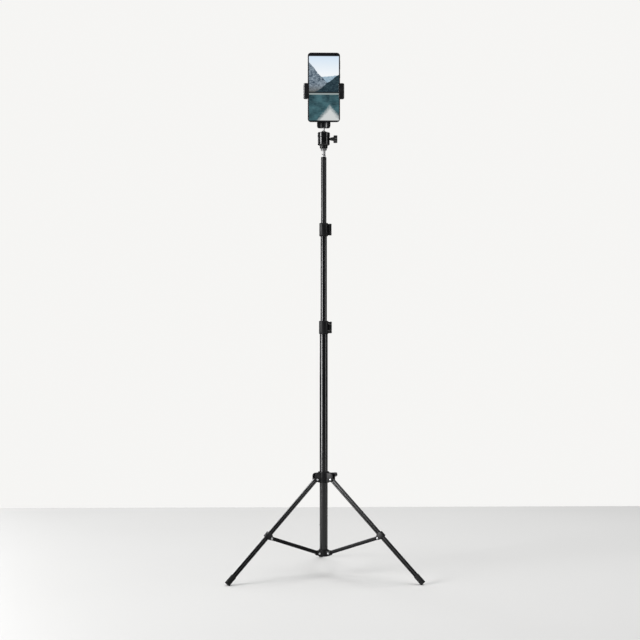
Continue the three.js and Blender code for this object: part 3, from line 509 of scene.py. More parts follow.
# %% [markdown]
# ## Mast tubes
#
# Three drawn tubes slide in one another. Each is a ring profile, with a small radius at its
# cut ends, spun round the mast.

# %% Mast tubes
TUBE_WALL = 0.8
CUT_END = 0.2  # rounding of a tube's cut ends


def mast_tube(node, body, material):
    """A drawn tube in place of a CAD tube; hands back its outer radius."""
    bottom, top = low(node).z, high(node).z
    outer = (high(node).x - low(node).x) / 2
    inner = outer - TUBE_WALL
    corners = ((inner, bottom), (outer, bottom), (outer, top), (inner, top))
    ring = [(*corner, CUT_END) for corner in corners] + [(inner, bottom)]
    piece(node + "_drawn", moved(turned(ring), tuple(mast)), material, body, [node])
    return outer


lower_r = mast_tube("lower_tube", "base", mast_black)
mid_r = mast_tube("mid_tube", "mid_section", mast_black)
top_r = mast_tube("top_tube", "top_section", top_black)
for hidden in ("mid_bush", "top_bush", "ball_seat"):
    dressed(hidden, collar_plastic)
print("tube radii", round(lower_r, 2), round(mid_r, 2), round(top_r, 2))

# %% [markdown]
# ## Rivets
#
# Every hinge turns on a semi-tubular rivet with a domed head at each side. One profile, with
# its dome rounded, is spun and laid across the hinge.

# %% Rivets and pins
RIVET_R = 1.5
PIN_HOLE = 1.8  # radius of the hole that a rivet or a pin turns in
HEAD_R = 2.6
HEAD_RISE = 1.1
DIMPLE = 0.3


def rivet(half):
    """A rivet along Y whose heads sit at plus and minus half; each has a small dimple."""
    face = half + HEAD_RISE
    shape = [(0, -face + DIMPLE), (0.7, -face + DIMPLE), (0.9, -face, 0.1)]
    shape += [(HEAD_R - 0.9, -face, 0.5), (HEAD_R, -half - 0.35, 0.2), (HEAD_R, -half), (RIVET_R, -half)]
    profile = shape + [(p[0], -p[1], *p[2:]) for p in reversed(shape)]
    return moved(turned(profile, SMALL), ALONG["Y"])


HUB_RIVET_HALF = 6.2
BRACE_RIVET_HALF = 6.1
for which, azimuth in LEGS.items():
    hub_pin = moved(rivet(HUB_RIVET_HALF), turn_z(azimuth), tuple(middle("hub_rivet_" + which)))
    piece("hub_rivet_domed_" + which, hub_pin, rivet_steel, "base", ["hub_rivet_" + which])
    brace_pin = moved(rivet(BRACE_RIVET_HALF), turn_z(azimuth), tuple(middle("brace_rivet_" + which)))
    piece("brace_rivet_domed_" + which, brace_pin, rivet_steel, "leg_" + which, ["brace_rivet_" + which])
    dressed("leg_pin_" + which, rivet_steel)

# %% [markdown]
# ## Legs
#
# A leg is a drawn section with rounded corners and a shallow groove along each side, which
# makes it stiffer. The end at the spider is rounded, so that it can swing between the
# spider's ears. The section is pushed along X, its end is rounded by keeping only what lies
# inside a rounded plate, and it is bored through for its pin.

# %% Legs
LEG_SPREAD = 46.5  # degrees between a leg and the mast
LEG_LENGTH = 324
LEG_DEPTH = 10
LEG_WIDTH = 8
LEG_CORNER = 2.2
LEG_WALL = 1.2
GROOVE_DEPTH = 0.9
FOOT_SOLE = 3.7  # rubber under the leg's end
SNUG = 0.2  # room round what is pressed in or clamped
leg_tilt = Matrix.Rotation(math.radians(90 - LEG_SPREAD), 4, "Y")


def on_leg(which):
    """From a leg's own space, along X from its pivot, to the stand's space."""
    return Matrix.Translation(middle("leg_pin_" + which)) @ turn_z(LEGS[which]) @ leg_tilt


def groove_points(face):
    """A rolled groove, 3 mm wide and narrow at its bottom, in a face at the given height."""
    profile = ((-1.5, 0), (-1.1, 0.18), (-0.3, 0.92), (0, 1), (0.3, 0.92), (1.1, 0.18), (1.5, 0))
    return [(x, face + GROOVE_DEPTH * down) for x, down in profile]


def leg_shape():
    depth, width, end = LEG_DEPTH / 2, LEG_WIDTH / 2, LEG_LENGTH
    side = [(-depth, -width, LEG_CORNER)] + groove_points(-width) + [(depth, -width, LEG_CORNER)]
    outline = side + [(-x, -z, *r) for x, z, *r in side]
    section = moved(plate(outline, -depth, end - FOOT_SOLE - SNUG), PUSHED_ALONG_X)
    round_end = depth - 0.1
    profile = [(-depth, -depth, round_end), (end, -depth), (end, depth), (-depth, depth, round_end)]
    keep = plate(profile, -width - 1, width + 1)
    inside = [(-half + LEG_WALL, half - LEG_WALL) for half in (width, depth)]
    hollow = box((depth + 4, end), *inside)
    return cut(common(section, keep), hollow, moved(bar(PIN_HOLE, -width - 1, width + 1), ALONG["Y"]))


leg = leg_shape()
for which in LEGS:
    shape = moved(copied(leg), on_leg(which))
    piece("leg_section_" + which, shape, leg_black, "leg_" + which, ["leg_" + which])

# %% [markdown]
# ## Foot caps
#
# A rubber cap is pushed over the end of each leg. It has two grip grooves near its toe.
# The floor cuts its lower corner flat, where the cap stands.

# %% Foot caps
FOOT_LENGTH = 24
CAP_WALL = 1.0  # rubber and clearance round the leg
CAP_CORNER = 3.1
GRIPS = (7.5, 4.5)  # each grip groove, back from the toe


def foot_shape():
    start = LEG_LENGTH - FOOT_LENGTH
    depth, width = LEG_DEPTH / 2 + CAP_WALL, LEG_WIDTH / 2 + CAP_WALL
    outline = ((-depth, -width), (depth, -width), (depth, width), (-depth, width))
    corners = [(x, z, CAP_CORNER) for x, z in outline]
    cap = softened(moved(plate(corners, start, LEG_LENGTH), PUSHED_ALONG_X), 0.5)
    room_y, room_z = LEG_WIDTH / 2 + SNUG, LEG_DEPTH / 2 + SNUG
    mouth = box((start - 1, LEG_LENGTH - FOOT_SOLE), (-room_y, room_y), (-room_z, room_z))
    grooves = []
    for back in GRIPS:
        x = LEG_LENGTH - back
        band = box((x, x + 1), (-8, 8), (-8, 8))
        core = plate([(c[0] * 0.94, c[1] * 0.93, CAP_CORNER - 0.2) for c in corners], x - 1, x + 2)
        grooves.append(cut(band, moved(core, PUSHED_ALONG_X)))
    return cut(cap, mouth, *grooves)


foot = foot_shape()
for which in LEGS:
    shape = moved(copied(foot), on_leg(which))
    floor_cut = bmesh.ops.bisect_plane(
        shape, geom=shape.verts[:] + shape.edges[:] + shape.faces[:], plane_co=(0, 0, 0), plane_no=(0, 0, 1),
        clear_inner=True,
    )
    rim = [part for part in floor_cut["geom_cut"] if isinstance(part, bmesh.types.BMEdge)]
    bmesh.ops.holes_fill(shape, edges=rim, sides=0)
    piece("foot_cap_" + which, shape, foot_rubber, "leg_" + which, ["foot_" + which])

# %% [markdown]
# ## Leg brackets
#
# A sheet bracket is folded over each leg and carries the brace between two ears below it. A
# button stands on its top, where it is pinned to the leg. Ears, sides and top are one
# outline pushed across the leg, and the room for the leg and the brace is cut out of it.

# %% Leg brackets
BRACE_AT = 177  # along the leg, from its pivot to the brace's rivet
BRACE_DROP = 9  # from the leg's centre line down to that rivet
SHEET = 1.6
FIT = 0.3  # room between parts that move on each other
THROUGH = 20  # half the length of a cutter that goes right through


def bracket_shape():
    half, ear, inside = 7, 3.5, LEG_WIDTH / 2 + FIT
    leg_low = BRACE_DROP - LEG_DEPTH / 2
    leg_top = BRACE_DROP + LEG_DEPTH / 2 + SNUG
    top = leg_top + SHEET
    outline = [(-half, leg_low, 0.8), (-ear, -ear, 3.2), (ear, -ear, 3.2), (half, leg_low, 0.8)]
    outline += [(half, top, 1.6), (-half, top, 1.6)]
    wrapped = softened(plate(outline, -inside - SHEET, inside + SHEET), 0.5, 3)
    button = turned([(0, leg_top + 0.5), (2.8, leg_top + 0.5), (2.8, top + 1, 0.6), (0.8, top + 1, 0.2),
                     (0.8, top + 0.5), (0, top + 0.5)], SMALL)
    room = box((-THROUGH, THROUGH), (-inside, inside), (-THROUGH, leg_top))
    bore = moved(bar(PIN_HOLE, -THROUGH, THROUGH), ALONG["Y"])
    return cut(joined(wrapped, button), room, bore)


bracket = bracket_shape()
for which in LEGS:
    shape = moved(copied(bracket), (BRACE_AT, 0, -BRACE_DROP), on_leg(which))
    piece("leg_bracket_folded_" + which, shape, hub_plastic, "leg_" + which, ["leg_bracket_" + which])

# %% [markdown]
# ## Braces
#
# A brace is a strip folded into a channel with its open side down, rounded at both ends and
# opened there, so that it clears the ears when the stand folds. Its length is the distance
# between its two rivets, and its slope follows from them.

# %% Braces
BRACE_HALF = 3.5  # half its width
BRACE_SHEET = 1
BRACE_LIP = 3.6  # from its rivets to its open edge
BRACE_BACK = 4.8  # from its rivets to its back
BRACE_OPEN = 9  # length without a back at each end


def brace_shape(length):
    lip, past = BRACE_LIP, 10
    outline = [(-lip, -lip, 3.5), (length + lip, -lip, 3.5), (length + lip, lip, 3.5)]
    outline += [(length - BRACE_OPEN, BRACE_BACK, 0.6), (BRACE_OPEN, BRACE_BACK, 0.6), (-lip, lip, 3.5)]
    strip = softened(plate(outline, -BRACE_HALF, BRACE_HALF), 0.6, 3)
    inside = (-BRACE_HALF + BRACE_SHEET, BRACE_HALF - BRACE_SHEET)
    channel = box((-past, length + past), inside, (-past, BRACE_BACK - BRACE_SHEET))
    spans = ((-past, BRACE_OPEN), (length - BRACE_OPEN, length + past))
    ends = [box(span, inside, (-past, past)) for span in spans]
    bores = [moved(bar(PIN_HOLE, -past, past), ALONG["Y"], (x, 0, 0)) for x in (0, length)]
    return cut(strip, channel, *ends, *bores)


for which, azimuth in LEGS.items():
    inner, outer = middle("hub_rivet_" + which), middle("brace_rivet_" + which)
    run = outer - inner
    rise = math.atan2(run.z, math.hypot(run.x, run.y))
    shape = moved(brace_shape(run.length), Matrix.Rotation(-rise, 4, "Y"), turn_z(azimuth), tuple(inner))
    piece("brace_channel_" + which, shape, brace_black, "brace_" + which, ["brace_" + which])

# %% [markdown]
# ## Bottom hub
#
# The hub is a moulded cup that the lower tube stands in, with three pairs of ears for the
# braces. The cup is turned, each pair of ears is a plate with one full round end, and the
# slot between them is cut a little into the cup.

# %% Bottom hub
hub_z = low("bottom_hub").z
PIVOT_RISE = middle("hub_rivet_left").z - hub_z
PIVOT_OUT = math.hypot(*(middle("hub_rivet_left") - mast).xy)
bore_r = lower_r + FIT
HUB_WALL = 2.4
HUB_HEIGHT = 15
HUB_FLOOR = 2
HUB_EAR_R = 6
HUB_EAR_SHEET = 2.2
OUTWARDS = 40  # past the end of any ear


def hub_shape():
    cup_r, height, slot = bore_r + HUB_WALL, HUB_HEIGHT, BRACE_HALF + FIT
    profile = [(0, 0), (cup_r, 0, 1), (cup_r, height, 1), (bore_r, height, 0.3), (bore_r, HUB_FLOOR)]
    cup = turned(profile + [(0, HUB_FLOOR)])
    root, tip, rounding = bore_r + 0.3, PIVOT_OUT + HUB_EAR_R, HUB_EAR_R - 0.1
    bottom, top = PIVOT_RISE - HUB_EAR_R, PIVOT_RISE + HUB_EAR_R
    ear = [(root, bottom), (tip, bottom, rounding), (tip, top, rounding), (root, top)]
    ears, gaps = [], []
    for azimuth in LEGS.values():
        for side in (-1, 1):
            inside, outside = sorted((side * (slot - 0.5), side * (slot + HUB_EAR_SHEET)))
            ears.append(moved(softened(plate(ear, inside, outside), 0.4, 3), turn_z(azimuth)))
        gaps.append(moved(box((bore_r + 0.6, OUTWARDS), (-slot, slot), (-1, height + 1)), turn_z(azimuth)))
        bore = bar(PIN_HOLE, -THROUGH, THROUGH)
        gaps.append(moved(bore, ALONG["Y"], (PIVOT_OUT, 0, PIVOT_RISE), turn_z(azimuth)))
    return cut(joined(cup, *ears), *gaps)


hub = moved(hub_shape(), (mast.x, mast.y, hub_z))
piece("hub_moulding", hub, hub_plastic, "base", ["bottom_hub"])

# %% [markdown]
# ## Spider
#
# The spider slides on the lower tube and carries the tops of the legs. Its ears are deeper
# than the hub's, with a flat land on top, and the heads of the leg rivets stand on their
# outer faces. A round seat between two legs takes the lock knob.

# %% Spider
pivot = middle("leg_pin_left")
LEG_OUT = math.hypot(*(pivot - mast).xy)
EAR_INSIDE = LEG_WIDTH / 2 + FIT
EAR_OUTSIDE = EAR_INSIDE + 2.6
SPIDER_EAR_R = 6
SPIDER_WALL = 3.2
SPIDER_BASE, SPIDER_TOP = -8.5, 17.5  # from the leg pivots
KNOB_AZIMUTH = 30
SEAT_R = 5.5
SEAT_OUT, SEAT_RISE = 16.5, 8.7
SCREW_HOLE = 3.0


def at_knob(shape):
    """Carries a shape that stands along Z to the spider's knob seat."""
    return moved(shape, ALONG["X"], (0, 0, SEAT_RISE), turn_z(KNOB_AZIMUTH))


def spider_shape():
    base, top, sleeve_r = SPIDER_BASE, SPIDER_TOP, bore_r + SPIDER_WALL
    corners = [(bore_r, base, 0.3), (sleeve_r, base, 1), (sleeve_r, top, 1), (bore_r, top, 0.3)]
    sleeve = turned(corners + [(bore_r, base)])
    root, tip, bottom = bore_r + SPIDER_WALL / 2, LEG_OUT + SPIDER_EAR_R, -SPIDER_EAR_R
    ear = [(root, base + 1), (LEG_OUT - 3, bottom, 1), (tip, bottom, 5.8), (tip, top - 3, 5.8)]
    ear += [(root, top - 2)]
    added, gaps = [at_knob(bar(SEAT_R, bore_r + 1.5, SEAT_OUT, SMALL, 0.5))], []
    for azimuth in LEGS.values():
        for side in (-1, 1):
            inside, outside = sorted((side * (EAR_INSIDE - 0.5), side * EAR_OUTSIDE))
            added.append(moved(softened(plate(ear, inside, outside), 0.45, 3), turn_z(azimuth)))
        gap = box((sleeve_r, OUTWARDS), (-EAR_INSIDE, EAR_INSIDE), (-THROUGH, 2 * THROUGH))
        gaps.append(moved(gap, turn_z(azimuth)))
    screw = at_knob(bar(SCREW_HOLE, 5, OUTWARDS))
    return cut(joined(sleeve, *added), *gaps, screw, bar(bore_r, -THROUGH, 2 * THROUGH, ROUND))


def spider_rivet(azimuth):
    """The two heads of a leg's rivet, on the outer faces of the ears."""
    profile = [(0, -0.4), (HEAD_R, -0.4), (HEAD_R, 0.35, 0.2), (HEAD_R - 0.9, HEAD_RISE, 0.5)]
    profile += [(0.9, HEAD_RISE, 0.1), (0.7, HEAD_RISE - DIMPLE), (0, HEAD_RISE - DIMPLE)]
    heads = []
    for side, outwards in ((-1, "-Y"), (1, "Y")):
        head = moved(turned(profile, SMALL), ALONG[outwards])
        heads.append(moved(head, (LEG_OUT, side * EAR_OUTSIDE, 0), turn_z(azimuth)))
    return heads


spider_at = (mast.x, mast.y, pivot.z)
spider = moved(spider_shape(), spider_at)
piece("spider_moulding", spider, hub_plastic, "spider", ["spider_collar"])
for which, azimuth in LEGS.items():
    for side, head in zip(("a", "b"), spider_rivet(azimuth)):
        head = moved(head, spider_at)
        piece(f"spider_rivet_{which}_{side}", head, rivet_steel, "spider")

# %% [markdown]
# ## Lobed knobs
#
# The two lock knobs have five lobes for the fingers. A circle's points are moved in and out
# to draw the lobes, the face is pushed to the knob's depth, its rims are rounded, and the
# neck and its screw are turned.

# %% Lock knobs
LOBE_STEPS = 24  # corners round each lobe


def lobed_head(radius, start, end, lobes, depth, rim):
    bm = bmesh.new()
    bmesh.ops.create_circle(bm, cap_ends=True, segments=lobes * LOBE_STEPS, radius=radius)
    for corner in bm.verts:
        angle = math.atan2(corner.co.y, corner.co.x)
        corner.co *= 1 - depth * (1 - math.cos(lobes * angle)) / radius
    pushed = bmesh.ops.extrude_face_region(bm, geom=bm.faces[:])
    top = [part for part in pushed["geom"] if isinstance(part, bmesh.types.BMVert)]
    bmesh.ops.translate(bm, vec=(0, 0, end - start), verts=top)
    bmesh.ops.translate(bm, vec=(0, 0, start), verts=bm.verts)
    bmesh.ops.recalc_face_normals(bm, faces=bm.faces)
    return softened(bm, rim, 4, 60)


SCREW_R = 2.6
LOBES = 5


def knob(name, body, node, seat, turn, screw_from, neck, head):
    """A knob on its screw; neck is (start, radius) and head is (start, end, radius)."""
    (neck_from, neck_r), (head_from, head_to, head_r) = neck, head
    waist_r = neck_r * 0.8
    stalk = [(0, screw_from), (SCREW_R, screw_from, 0.4), (SCREW_R, neck_from), (waist_r, neck_from, 0.3)]
    stalk += [(waist_r, neck_from + 1.2, 0.2), (neck_r, head_from, 0.4), (neck_r, head_from + 1.5)]
    stalk += [(0, head_from + 1.5)]
    face = lobed_head(head_r, head_from, head_to, LOBES, head_r * 0.12, min(1.2, head_r * 0.14))
    dish = [(0, head_to - 0.8), (head_r * 0.42, head_to - 0.8, 0.3), (head_r * 0.5, head_to + 1)]
    dish += [(0, head_to + 1)]
    shape = cut(joined(turned(stalk, SMALL), face), turned(dish, SMALL))
    piece(name, moved(shape, ALONG["X"], turn_z(turn), seat), knob_plastic, body, [node])


knob("spider_lock_knob", "spider_lock", "spider_knob", (mast.x, mast.y, pivot.z + SEAT_RISE), KNOB_AZIMUTH,
     screw_from=lower_r + 0.3, neck=(SEAT_OUT + 0.3, 3.4), head=(SEAT_OUT + 6, SEAT_OUT + 19, 5.4))

# %% [markdown]
# ## Clamp collars and flip levers
#
# Each collar is a split plastic ring that grips the tube above it. A lever wrapped round its
# front turns on a pin at the right and pulls the split shut. The collar is turned, its lug
# and knuckle are joined on, and the split is cut. The lever's wrap is a rectangle spun
# through part of a turn, closed at both ends, with a barrel round the pin and a bead along
# its free edge.

# %% Collars
COLLAR_HEIGHT = 31
COLLAR_SEAT = 15.3  # how deep the tube below stands in the collar
LUG_SPAN = (7.5, 23.5)
LUG_HALF = 3.2
KNUCKLE_R = 3.8
SPLIT_AZIMUTH = 35
LEVER_HALF = 13.5  # half its height
LEVER_SHEET = 2.2
LEVER_START = -128  # azimuth of the lever's free edge
LEVER_TURN = 114  # from there round to its pin


def collar_shape(radius, grip_r, pass_r, pin):
    height, seat = COLLAR_HEIGHT, COLLAR_SEAT
    ring = [(pass_r, height, 0.3), (radius, height, 1.0), (radius, 0, 1.0), (grip_r, 0, 0.3), (grip_r, seat)]
    ring += [(pass_r, seat), (pass_r, height)]
    neck = box((pass_r + 0.5, pin.x), (pin.y - LUG_HALF, pin.y + LUG_HALF), LUG_SPAN, 0.4)
    knuckle = moved(bar(KNUCKLE_R, *LUG_SPAN, soft=0.4), (pin.x, pin.y, 0))
    bore = moved(bar(PIN_HOLE, -1, height + 1), (pin.x, pin.y, 0))
    split = moved(box((0, 2 * radius), (1, 2.5), (17, height + 1)), turn_z(SPLIT_AZIMUTH))
    channel = bar(pass_r, seat - 1, height + 1, ROUND)
    return cut(joined(turned(ring), neck, knuckle), bore, split, channel)


def lever_shape(radius, pin):
    inner, outer, half = radius + FIT, radius + FIT + LEVER_SHEET, LEVER_HALF
    wrap = bmesh.new()
    ends = [(inner, -half, 0.3), (outer, -half, 0.7), (outer, half, 0.7), (inner, half, 0.3)]
    corners = [wrap.verts.new((x, 0, z)) for x, z, _ in ends]
    for a, b in zip(corners, corners[1:] + corners[:1]):
        wrap.edges.new((a, b))
    rounded_corners(wrap, corners, [r for _, _, r in ends])
    start = Matrix.Rotation(math.radians(LEVER_START), 3, "Z")
    bmesh.ops.rotate(wrap, cent=(0, 0, 0), matrix=start, verts=wrap.verts)
    bmesh.ops.spin(
        wrap, geom=wrap.verts[:] + wrap.edges[:], cent=(0, 0, 0), axis=(0, 0, 1), dvec=(0, 0, 0),
        angle=math.radians(LEVER_TURN), steps=40, use_merge=False, use_duplicate=False,
    )
    bmesh.ops.holes_fill(wrap, edges=[e for e in wrap.edges if e.is_boundary], sides=0)
    bmesh.ops.recalc_face_normals(wrap, faces=wrap.faces)
    bead_r = LEVER_SHEET * 0.72
    bead_at = start @ Vector((outer - bead_r - 0.02, 0, 0))
    bead = moved(bar(bead_r, -half, half, soft=0.5), tuple(bead_at))
    barrel = moved(bar(KNUCKLE_R + 0.1, -half, half, soft=0.6), (pin.x, pin.y, 0))
    lug_half = (LUG_SPAN[1] - LUG_SPAN[0]) / 2 + FIT
    window = box((pin.x - 6.4, pin.x + 8), (pin.y - radius, pin.y + radius), (-lug_half, lug_half), 0.3)
    bore = moved(bar(PIN_HOLE, -THROUGH, THROUGH), (pin.x, pin.y, 0))
    return cut(joined(wrap, bead, barrel), window, bore, bar(inner - 0.02, -THROUGH, THROUGH, ROUND))


def clamp_collar(which, body, lever_body, grip_r, pass_r):
    """A collar with its lever and pin; it grips one tube and lets the next one pass."""
    base = low(which + "_collar").z
    radius = mast.x - low(which + "_collar").x
    pin = middle(which + "_collar_pin") - mast
    lever_at = (mast.x, mast.y, base + sum(LUG_SPAN) / 2)
    ring = moved(collar_shape(radius, grip_r, pass_r, pin), (mast.x, mast.y, base))
    piece(which + "_collar_ring", ring, collar_plastic, body, [which + "_collar"])
    lever = moved(lever_shape(radius, pin), lever_at)
    piece(which + "_flip_lever", lever, lever_plastic, lever_body, [which + "_lever"])
    end = LEVER_HALF + 0.5
    shank = turned([(0, -end), (RIVET_R, -end, 0.3), (RIVET_R, end, 0.3), (0, end)], SMALL)
    node = which + "_collar_pin"
    piece(node + "_turned", moved(shank, tuple(middle(node))), rivet_steel, body, [node])


clamp_collar("lower", "base", "lower_flip_lever", lower_r + SNUG, mid_r + 0.3)
clamp_collar("upper", "mid_section", "upper_flip_lever", mid_r + SNUG, top_r + 0.3)

# %% [markdown]
# ## Top cap and spigot
#
# The top tube is closed by a turned plug, and a plated spigot stands in it: a short shank
# with a bulge, a waist, a hexagon for a spanner, and the threaded stud that the ball head
# screws onto.

# %% Top cap and spigot
tube_top = high("top_tube").z
plug_r = top_r - TUBE_WALL - SNUG
CAP_DEPTH = 15
SPIGOT_HOLE = 3.3
cap_ring = [(SPIGOT_HOLE, -CAP_DEPTH), (plug_r, -CAP_DEPTH, 0.5), (plug_r, 0.3), (top_r, 0.3, 0.1)]
cap_ring += [(top_r, 2.2, 0.6), (SPIGOT_HOLE, 2.2, 0.2), (SPIGOT_HOLE, -CAP_DEPTH)]
piece("top_cap_turned", moved(turned(cap_ring), (mast.x, mast.y, tube_top)), collar_plastic, "top_section",
      ["top_cap"])

SHANK_DEPTH = 15
RIDGES = 11
RIDGE_PITCH = 0.8
spigot_z = low("spigot").z + SHANK_DEPTH
shank = [(0, -SHANK_DEPTH), (3, -SHANK_DEPTH, 0.4), (3, 0), (4.6, 0, 0.9), (4.6, 5, 1.2), (4.1, 6, 0.4)]
shank += [(4.1, 14.6, 0.3), (4.6, 15.2, 0.2), (4.6, 16.5), (0, 16.5)]
hexagon = softened(bar(7.3, 15.8, 20.5, 6), 0.35, 2, 30)
chamfer = turned([(0, 15.7), (6.5, 15.7), (7.4, 16.5), (7.4, 19.8), (6.5, 20.6), (0, 20.6)])
stud = [(0, 20)]
for ridge in range(RIDGES):
    stud += [(3.1, 20.6 + RIDGE_PITCH * ridge), (2.75, 21.0 + RIDGE_PITCH * ridge)]
stud += [(2.4, 30), (0, 30)]
spigot = joined(turned(shank), common(hexagon, chamfer), turned(stud, SMALL))
spigot = moved(spigot, (mast.x, mast.y, spigot_z))
piece("spigot_plated", spigot, spigot_steel, "top_section", ["spigot"])

# %% [markdown]
# ## Ball head
#
# A knurled base disc screws onto the spigot. The housing above it is turned, with a waist, a
# stepped rim, and a round mouth that holds the ball in. The ball is turned too, because it has
# a flat on top where the stem is screwed in.

# %% Ball head
base_z = low("head_base").z
head_z = low("head_housing").z
BALL_R = 7.5
BALL_RISE = 27.5  # from the housing's underside to the ball's centre
KNOB_RISE = 15.6  # from there to the lock knob's axis
STUD_HOLE = 3.4
DISC_R, DISC_HEIGHT = 9.2, 6.2
NOTCHES = 24
HOUSING_HEIGHT = 31
MOUTH_R = 6.97  # a little less than the ball, so that it can't come out


def knurled_disc():
    profile = [(STUD_HOLE, 0), (DISC_R, 0, 0.7), (DISC_R, DISC_HEIGHT, 0.7), (STUD_HOLE, DISC_HEIGHT)]
    profile += [(STUD_HOLE, 0)]
    notches = []
    for i in range(NOTCHES):
        notches.append(moved(bar(0.55, -1, 8, 8), (DISC_R + 0.15, 0, 0), turn_z(360 / NOTCHES * i)))
    return cut(turned(profile), *notches)


def housing_shape():
    top = HOUSING_HEIGHT
    outside = [(STUD_HOLE, 0), (11.2, 0, 0.5), (14.2, 2.2, 0.8), (14.2, 4.6, 0.3), (13.7, 5, 0.1)]
    outside += [(14.1, 5.4, 0.2), (14.1, 19.6, 0.3), (13.7, 20.0, 0.1)]
    rim = [(14.6, 20.6, 0.3), (14.6, 29.5, 0.5), (13.1, top, 0.5), (MOUTH_R, top, 0.2)]
    cavity = [(7.35, 30.1), (7.65, 29.0), (7.8, BALL_RISE), (9.8, BALL_RISE), (9.8, 4)]
    ring = outside + rim + cavity + [(STUD_HOLE, 4), (STUD_HOLE, 0)]
    screw = moved(bar(SCREW_HOLE, 5, OUTWARDS), ALONG["X"], (0, 0, KNOB_RISE))
    return cut(turned(ring, 128), screw)


def ball_shape():
    """A ball with a small flat on top, where the stem is screwed in."""
    angles = [math.radians(degrees) for degrees in range(-86, 71, 4)]
    arc = [(0, -BALL_R)] + [(BALL_R * math.cos(a), BALL_R * math.sin(a)) for a in angles]
    return turned(arc + [(0, arc[-1][1])], ROUND)


disc = moved(knurled_disc(), (mast.x, mast.y, base_z))
piece("head_base_knurled", disc, head_gloss, "head", ["head_base"])
housing = moved(housing_shape(), (mast.x, mast.y, head_z))
piece("head_housing_turned", housing, head_gloss, "head", ["head_housing"])
ball = moved(ball_shape(), (mast.x, mast.y, head_z + BALL_RISE))
piece("head_ball", ball, ball_steel, "tilt_ball", ["ball"])
knob("head_lock_knob", "head_lock", "head_knob", (mast.x, mast.y, head_z + KNOB_RISE), 0,
     screw_from=10.1, neck=(15.6, 4.8), head=(23, 32, 9.5))

# %% [markdown]
# The stem rises from the ball into the clamp's foot. It starts just above the ball's surface,
# so that the two don't touch when the clamp is nodded.

# %% Stem
foot_z = low("clamp_foot").z
stem_top = high("ball_stem").z
stem_low = head_z + BALL_RISE + BALL_R + 0.1
STEM_R = 2.5
THREAD_R = 2.9
stem = [(0, stem_low), (STEM_R, stem_low, 0.2), (STEM_R, foot_z - 0.2, 0.2), (THREAD_R, foot_z + 0.1)]
stem = turned(stem + [(THREAD_R, stem_top, 0.6), (0, stem_top)], SMALL)
piece("ball_stem_turned", moved(stem, (mast.x, mast.y, 0)), spigot_steel, "clamp_arm", ["ball_stem"])

# %% [markdown]
# ## Clamp foot and arm
#
# The clamp stands on a rounded block that screws onto the ball's stem. A shallow hollow runs
# down the block's front, and a flat arm rises behind the phone to the pivot of the clamp bar.

# %% Clamp foot
clamp_z = middle("clamp_bar").z
pivot_rise = clamp_z - foot_z
FOOT_HALF = 15.75  # half the block's width
FOOT_TOP = 18
FOOT_BACK = 8  # half its depth
ARM_HALF = 9
ARM_FRONT, ARM_BACK = -3, 2
PIVOT_HOLE = 3.3


def clamp_foot_shape():
    half, top = FOOT_HALF, FOOT_TOP
    block = [(-half, 0, 5.5), (half, 0, 5.5), (half, top, 4.5), (-half, top, 4.5)]
    block = softened(plate(block, -FOOT_BACK, FOOT_BACK), 1.0, 4, 60)
    arm_top = pivot_rise + ARM_HALF
    arm = [(-ARM_HALF, 9), (ARM_HALF, 9), (ARM_HALF, arm_top, 8.9), (-ARM_HALF, arm_top, 8.9)]
    arm = softened(plate(arm, ARM_FRONT, ARM_BACK), 0.6, 3, 60)
    hollow_r, hollow_depth = 13.5, 2.2
    hollow = moved(bar(hollow_r, -5, 25, ROUND), (0, hollow_depth - FOOT_BACK - hollow_r, 0))
    socket = bar(THREAD_R + SNUG, -1, 10.3)
    slot = box((-2.5, 2.5), (ARM_FRONT - 1, ARM_BACK + 1), (26, pivot_rise - 18), 2.4, 6)
    bore = moved(bar(PIVOT_HOLE, -5, 5), ALONG["Y"], (0, 0, pivot_rise))
    return cut(joined(block, arm), hollow, socket, slot, bore)


clamp_foot = moved(clamp_foot_shape(), (mast.x, mast.y, foot_z))
piece("clamp_foot_moulded", clamp_foot, clamp_plastic, "clamp_arm", ["clamp_foot"])

# %% [markdown]
# ## Clamp bar and jaws
#
# The bar lies across the phone's back. Its left end turns forward into the fixed jaw, and
# the moving jaw on the right runs on two rods, pulled in by a spring. A jaw's plan is drawn
# from above, with a crowned outside and a lip over the phone's edge, and only what lies
# inside a rounded front outline is kept.

# %% Clamp bar and jaws
phone_low, phone_high = low("phone_frame"), high("phone_frame")
PHONE_W = phone_high.x - phone_low.x
PHONE_H = phone_high.z - phone_low.z
phone_y = (phone_low.y + phone_high.y) / 2 - mast.y
BAR_FRONT, BAR_BACK = -10.6, -3.3
JAW_WALL = PHONE_W / 2 + 2.8
bar_y = (BAR_FRONT + BAR_BACK) / 2
ROD_R = 2
ROD_RISE = 11.3  # the rods run this far over and under the bar's middle
ROD_END = high("guide_rod_upper").x - mast.x
SPRING_RISE = 6.2
BAR_HALF, JAW_HALF = 15, 17.5  # half their heights
LIP = 2  # thickness of a jaw's lip in front of the phone
PHONE_HALF = 4  # half its depth


